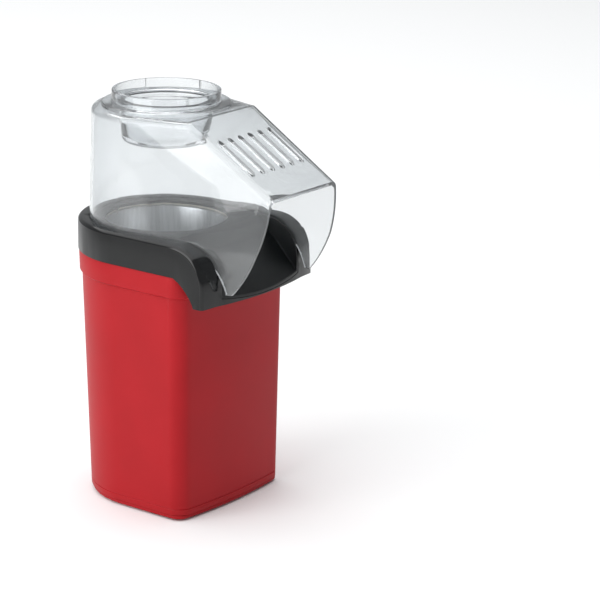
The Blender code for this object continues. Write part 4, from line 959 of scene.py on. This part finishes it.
# %% Floor
bpy.ops.mesh.primitive_plane_add(size=12.0, location=(0.0, 0.0, 0.0))
floor = settle("floor")
floor_paint, floor_tree, floor_shader = new_material("matt_studio_floor")
floor_shader.inputs["Base Color"].default_value = linear("#F4F4F4")
floor_shader.inputs["Roughness"].default_value = 0.9
floor_shader.inputs["Specular IOR Level"].default_value = 0.1
floor.data.materials.append(floor_paint)
print("floor, m:", round(floor.dimensions.x, 1))

# %% [markdown]
# ## Lights
# A soft square light stands to the machine's left, so the side of the body is bright and its front
# falls into shade. A much larger one hangs above and behind, and lights the floor and the rims of
# the clear hood. Area lights are used because a real studio's soft boxes have a size too.


# %% Lights
def soft_light(name, place, aim, size, power):
    lamp = bpy.data.lights.new(name, 'AREA')
    lamp.shape = 'RECTANGLE'
    lamp.size, lamp.size_y = size, size
    lamp.energy = power
    made = bpy.data.objects.new(name, lamp)
    bpy.context.scene.collection.objects.link(made)
    made.location = place
    made.rotation_euler = (Vector(aim) - Vector(place)).to_track_quat('-Z', 'Y').to_euler()
    print("light:", name, power, "W")


soft_light("key", (-1.5, 0.35, 0.9), (0.0, 0.0, 0.15), 1.4, 20.0)
soft_light("top", (0.2, 1.0, 2.6), (0.2, 0.9, 0.0), 4.4, 95.0)

# %% [markdown]
# ## World
# The world is a pale studio that fills the shadows. It is seen at full strength and lights the
# pieces at less than half of it, or they would lose their contrast.

# %% World
SEEN, BOUNCED = 1.0, 0.45
world = bpy.data.worlds.new("studio")
world.use_nodes = True
sky = world.node_tree
background = sky.nodes["Background"]
background.inputs["Color"].default_value = linear("#F2F5F7")
rays = node(sky, "ShaderNodeLightPath")
bounced = node(sky, "ShaderNodeMath", operation='MAXIMUM')
sky.links.new(rays.outputs["Is Diffuse Ray"], bounced.inputs[0])
sky.links.new(rays.outputs["Is Glossy Ray"], bounced.inputs[1])
strength = node(sky, "ShaderNodeMapRange", {"Value": bounced.outputs["Value"]})
strength.inputs["To Min"].default_value = SEEN
strength.inputs["To Max"].default_value = BOUNCED
sky.links.new(strength.outputs["Result"], background.inputs["Strength"])
bpy.context.scene.world = world
print("world:", world.name)

# %% [markdown]
# ## Camera
# A long lens from nearly two metres keeps upright edges almost parallel. The camera looks at a
# point on the axis and is then turned a little aside, so the machine stands left of the middle.

# %% Camera
AZIMUTH, ELEVATION = math.radians(-50.33), math.radians(16.2)
DISTANCE, LENS, SENSOR = 1.862, 158.0, 36.0
TURN, TILT = math.radians(2.90), math.radians(0.376)
aim = Vector((0.0, AXIS_Y, 0.15))
back = Vector((math.sin(AZIMUTH) * math.cos(ELEVATION), -math.cos(AZIMUTH) * math.cos(ELEVATION),
               math.sin(ELEVATION)))
lens = bpy.data.cameras.new("camera")
lens.sensor_width = SENSOR
lens.lens = LENS
camera = bpy.data.objects.new("camera", lens)
bpy.context.scene.collection.objects.link(camera)
camera.location = aim + back * DISTANCE
facing = (-back).to_track_quat('-Z', 'Y').to_matrix().to_4x4()
facing = facing @ Matrix.Rotation(-TURN, 4, 'Y') @ Matrix.Rotation(-TILT, 4, 'X')
camera.rotation_euler = facing.to_euler()
bpy.context.scene.camera = camera
bpy.context.scene.view_settings.view_transform = 'Standard'
print("camera at, m:", [round(v, 3) for v in camera.location])
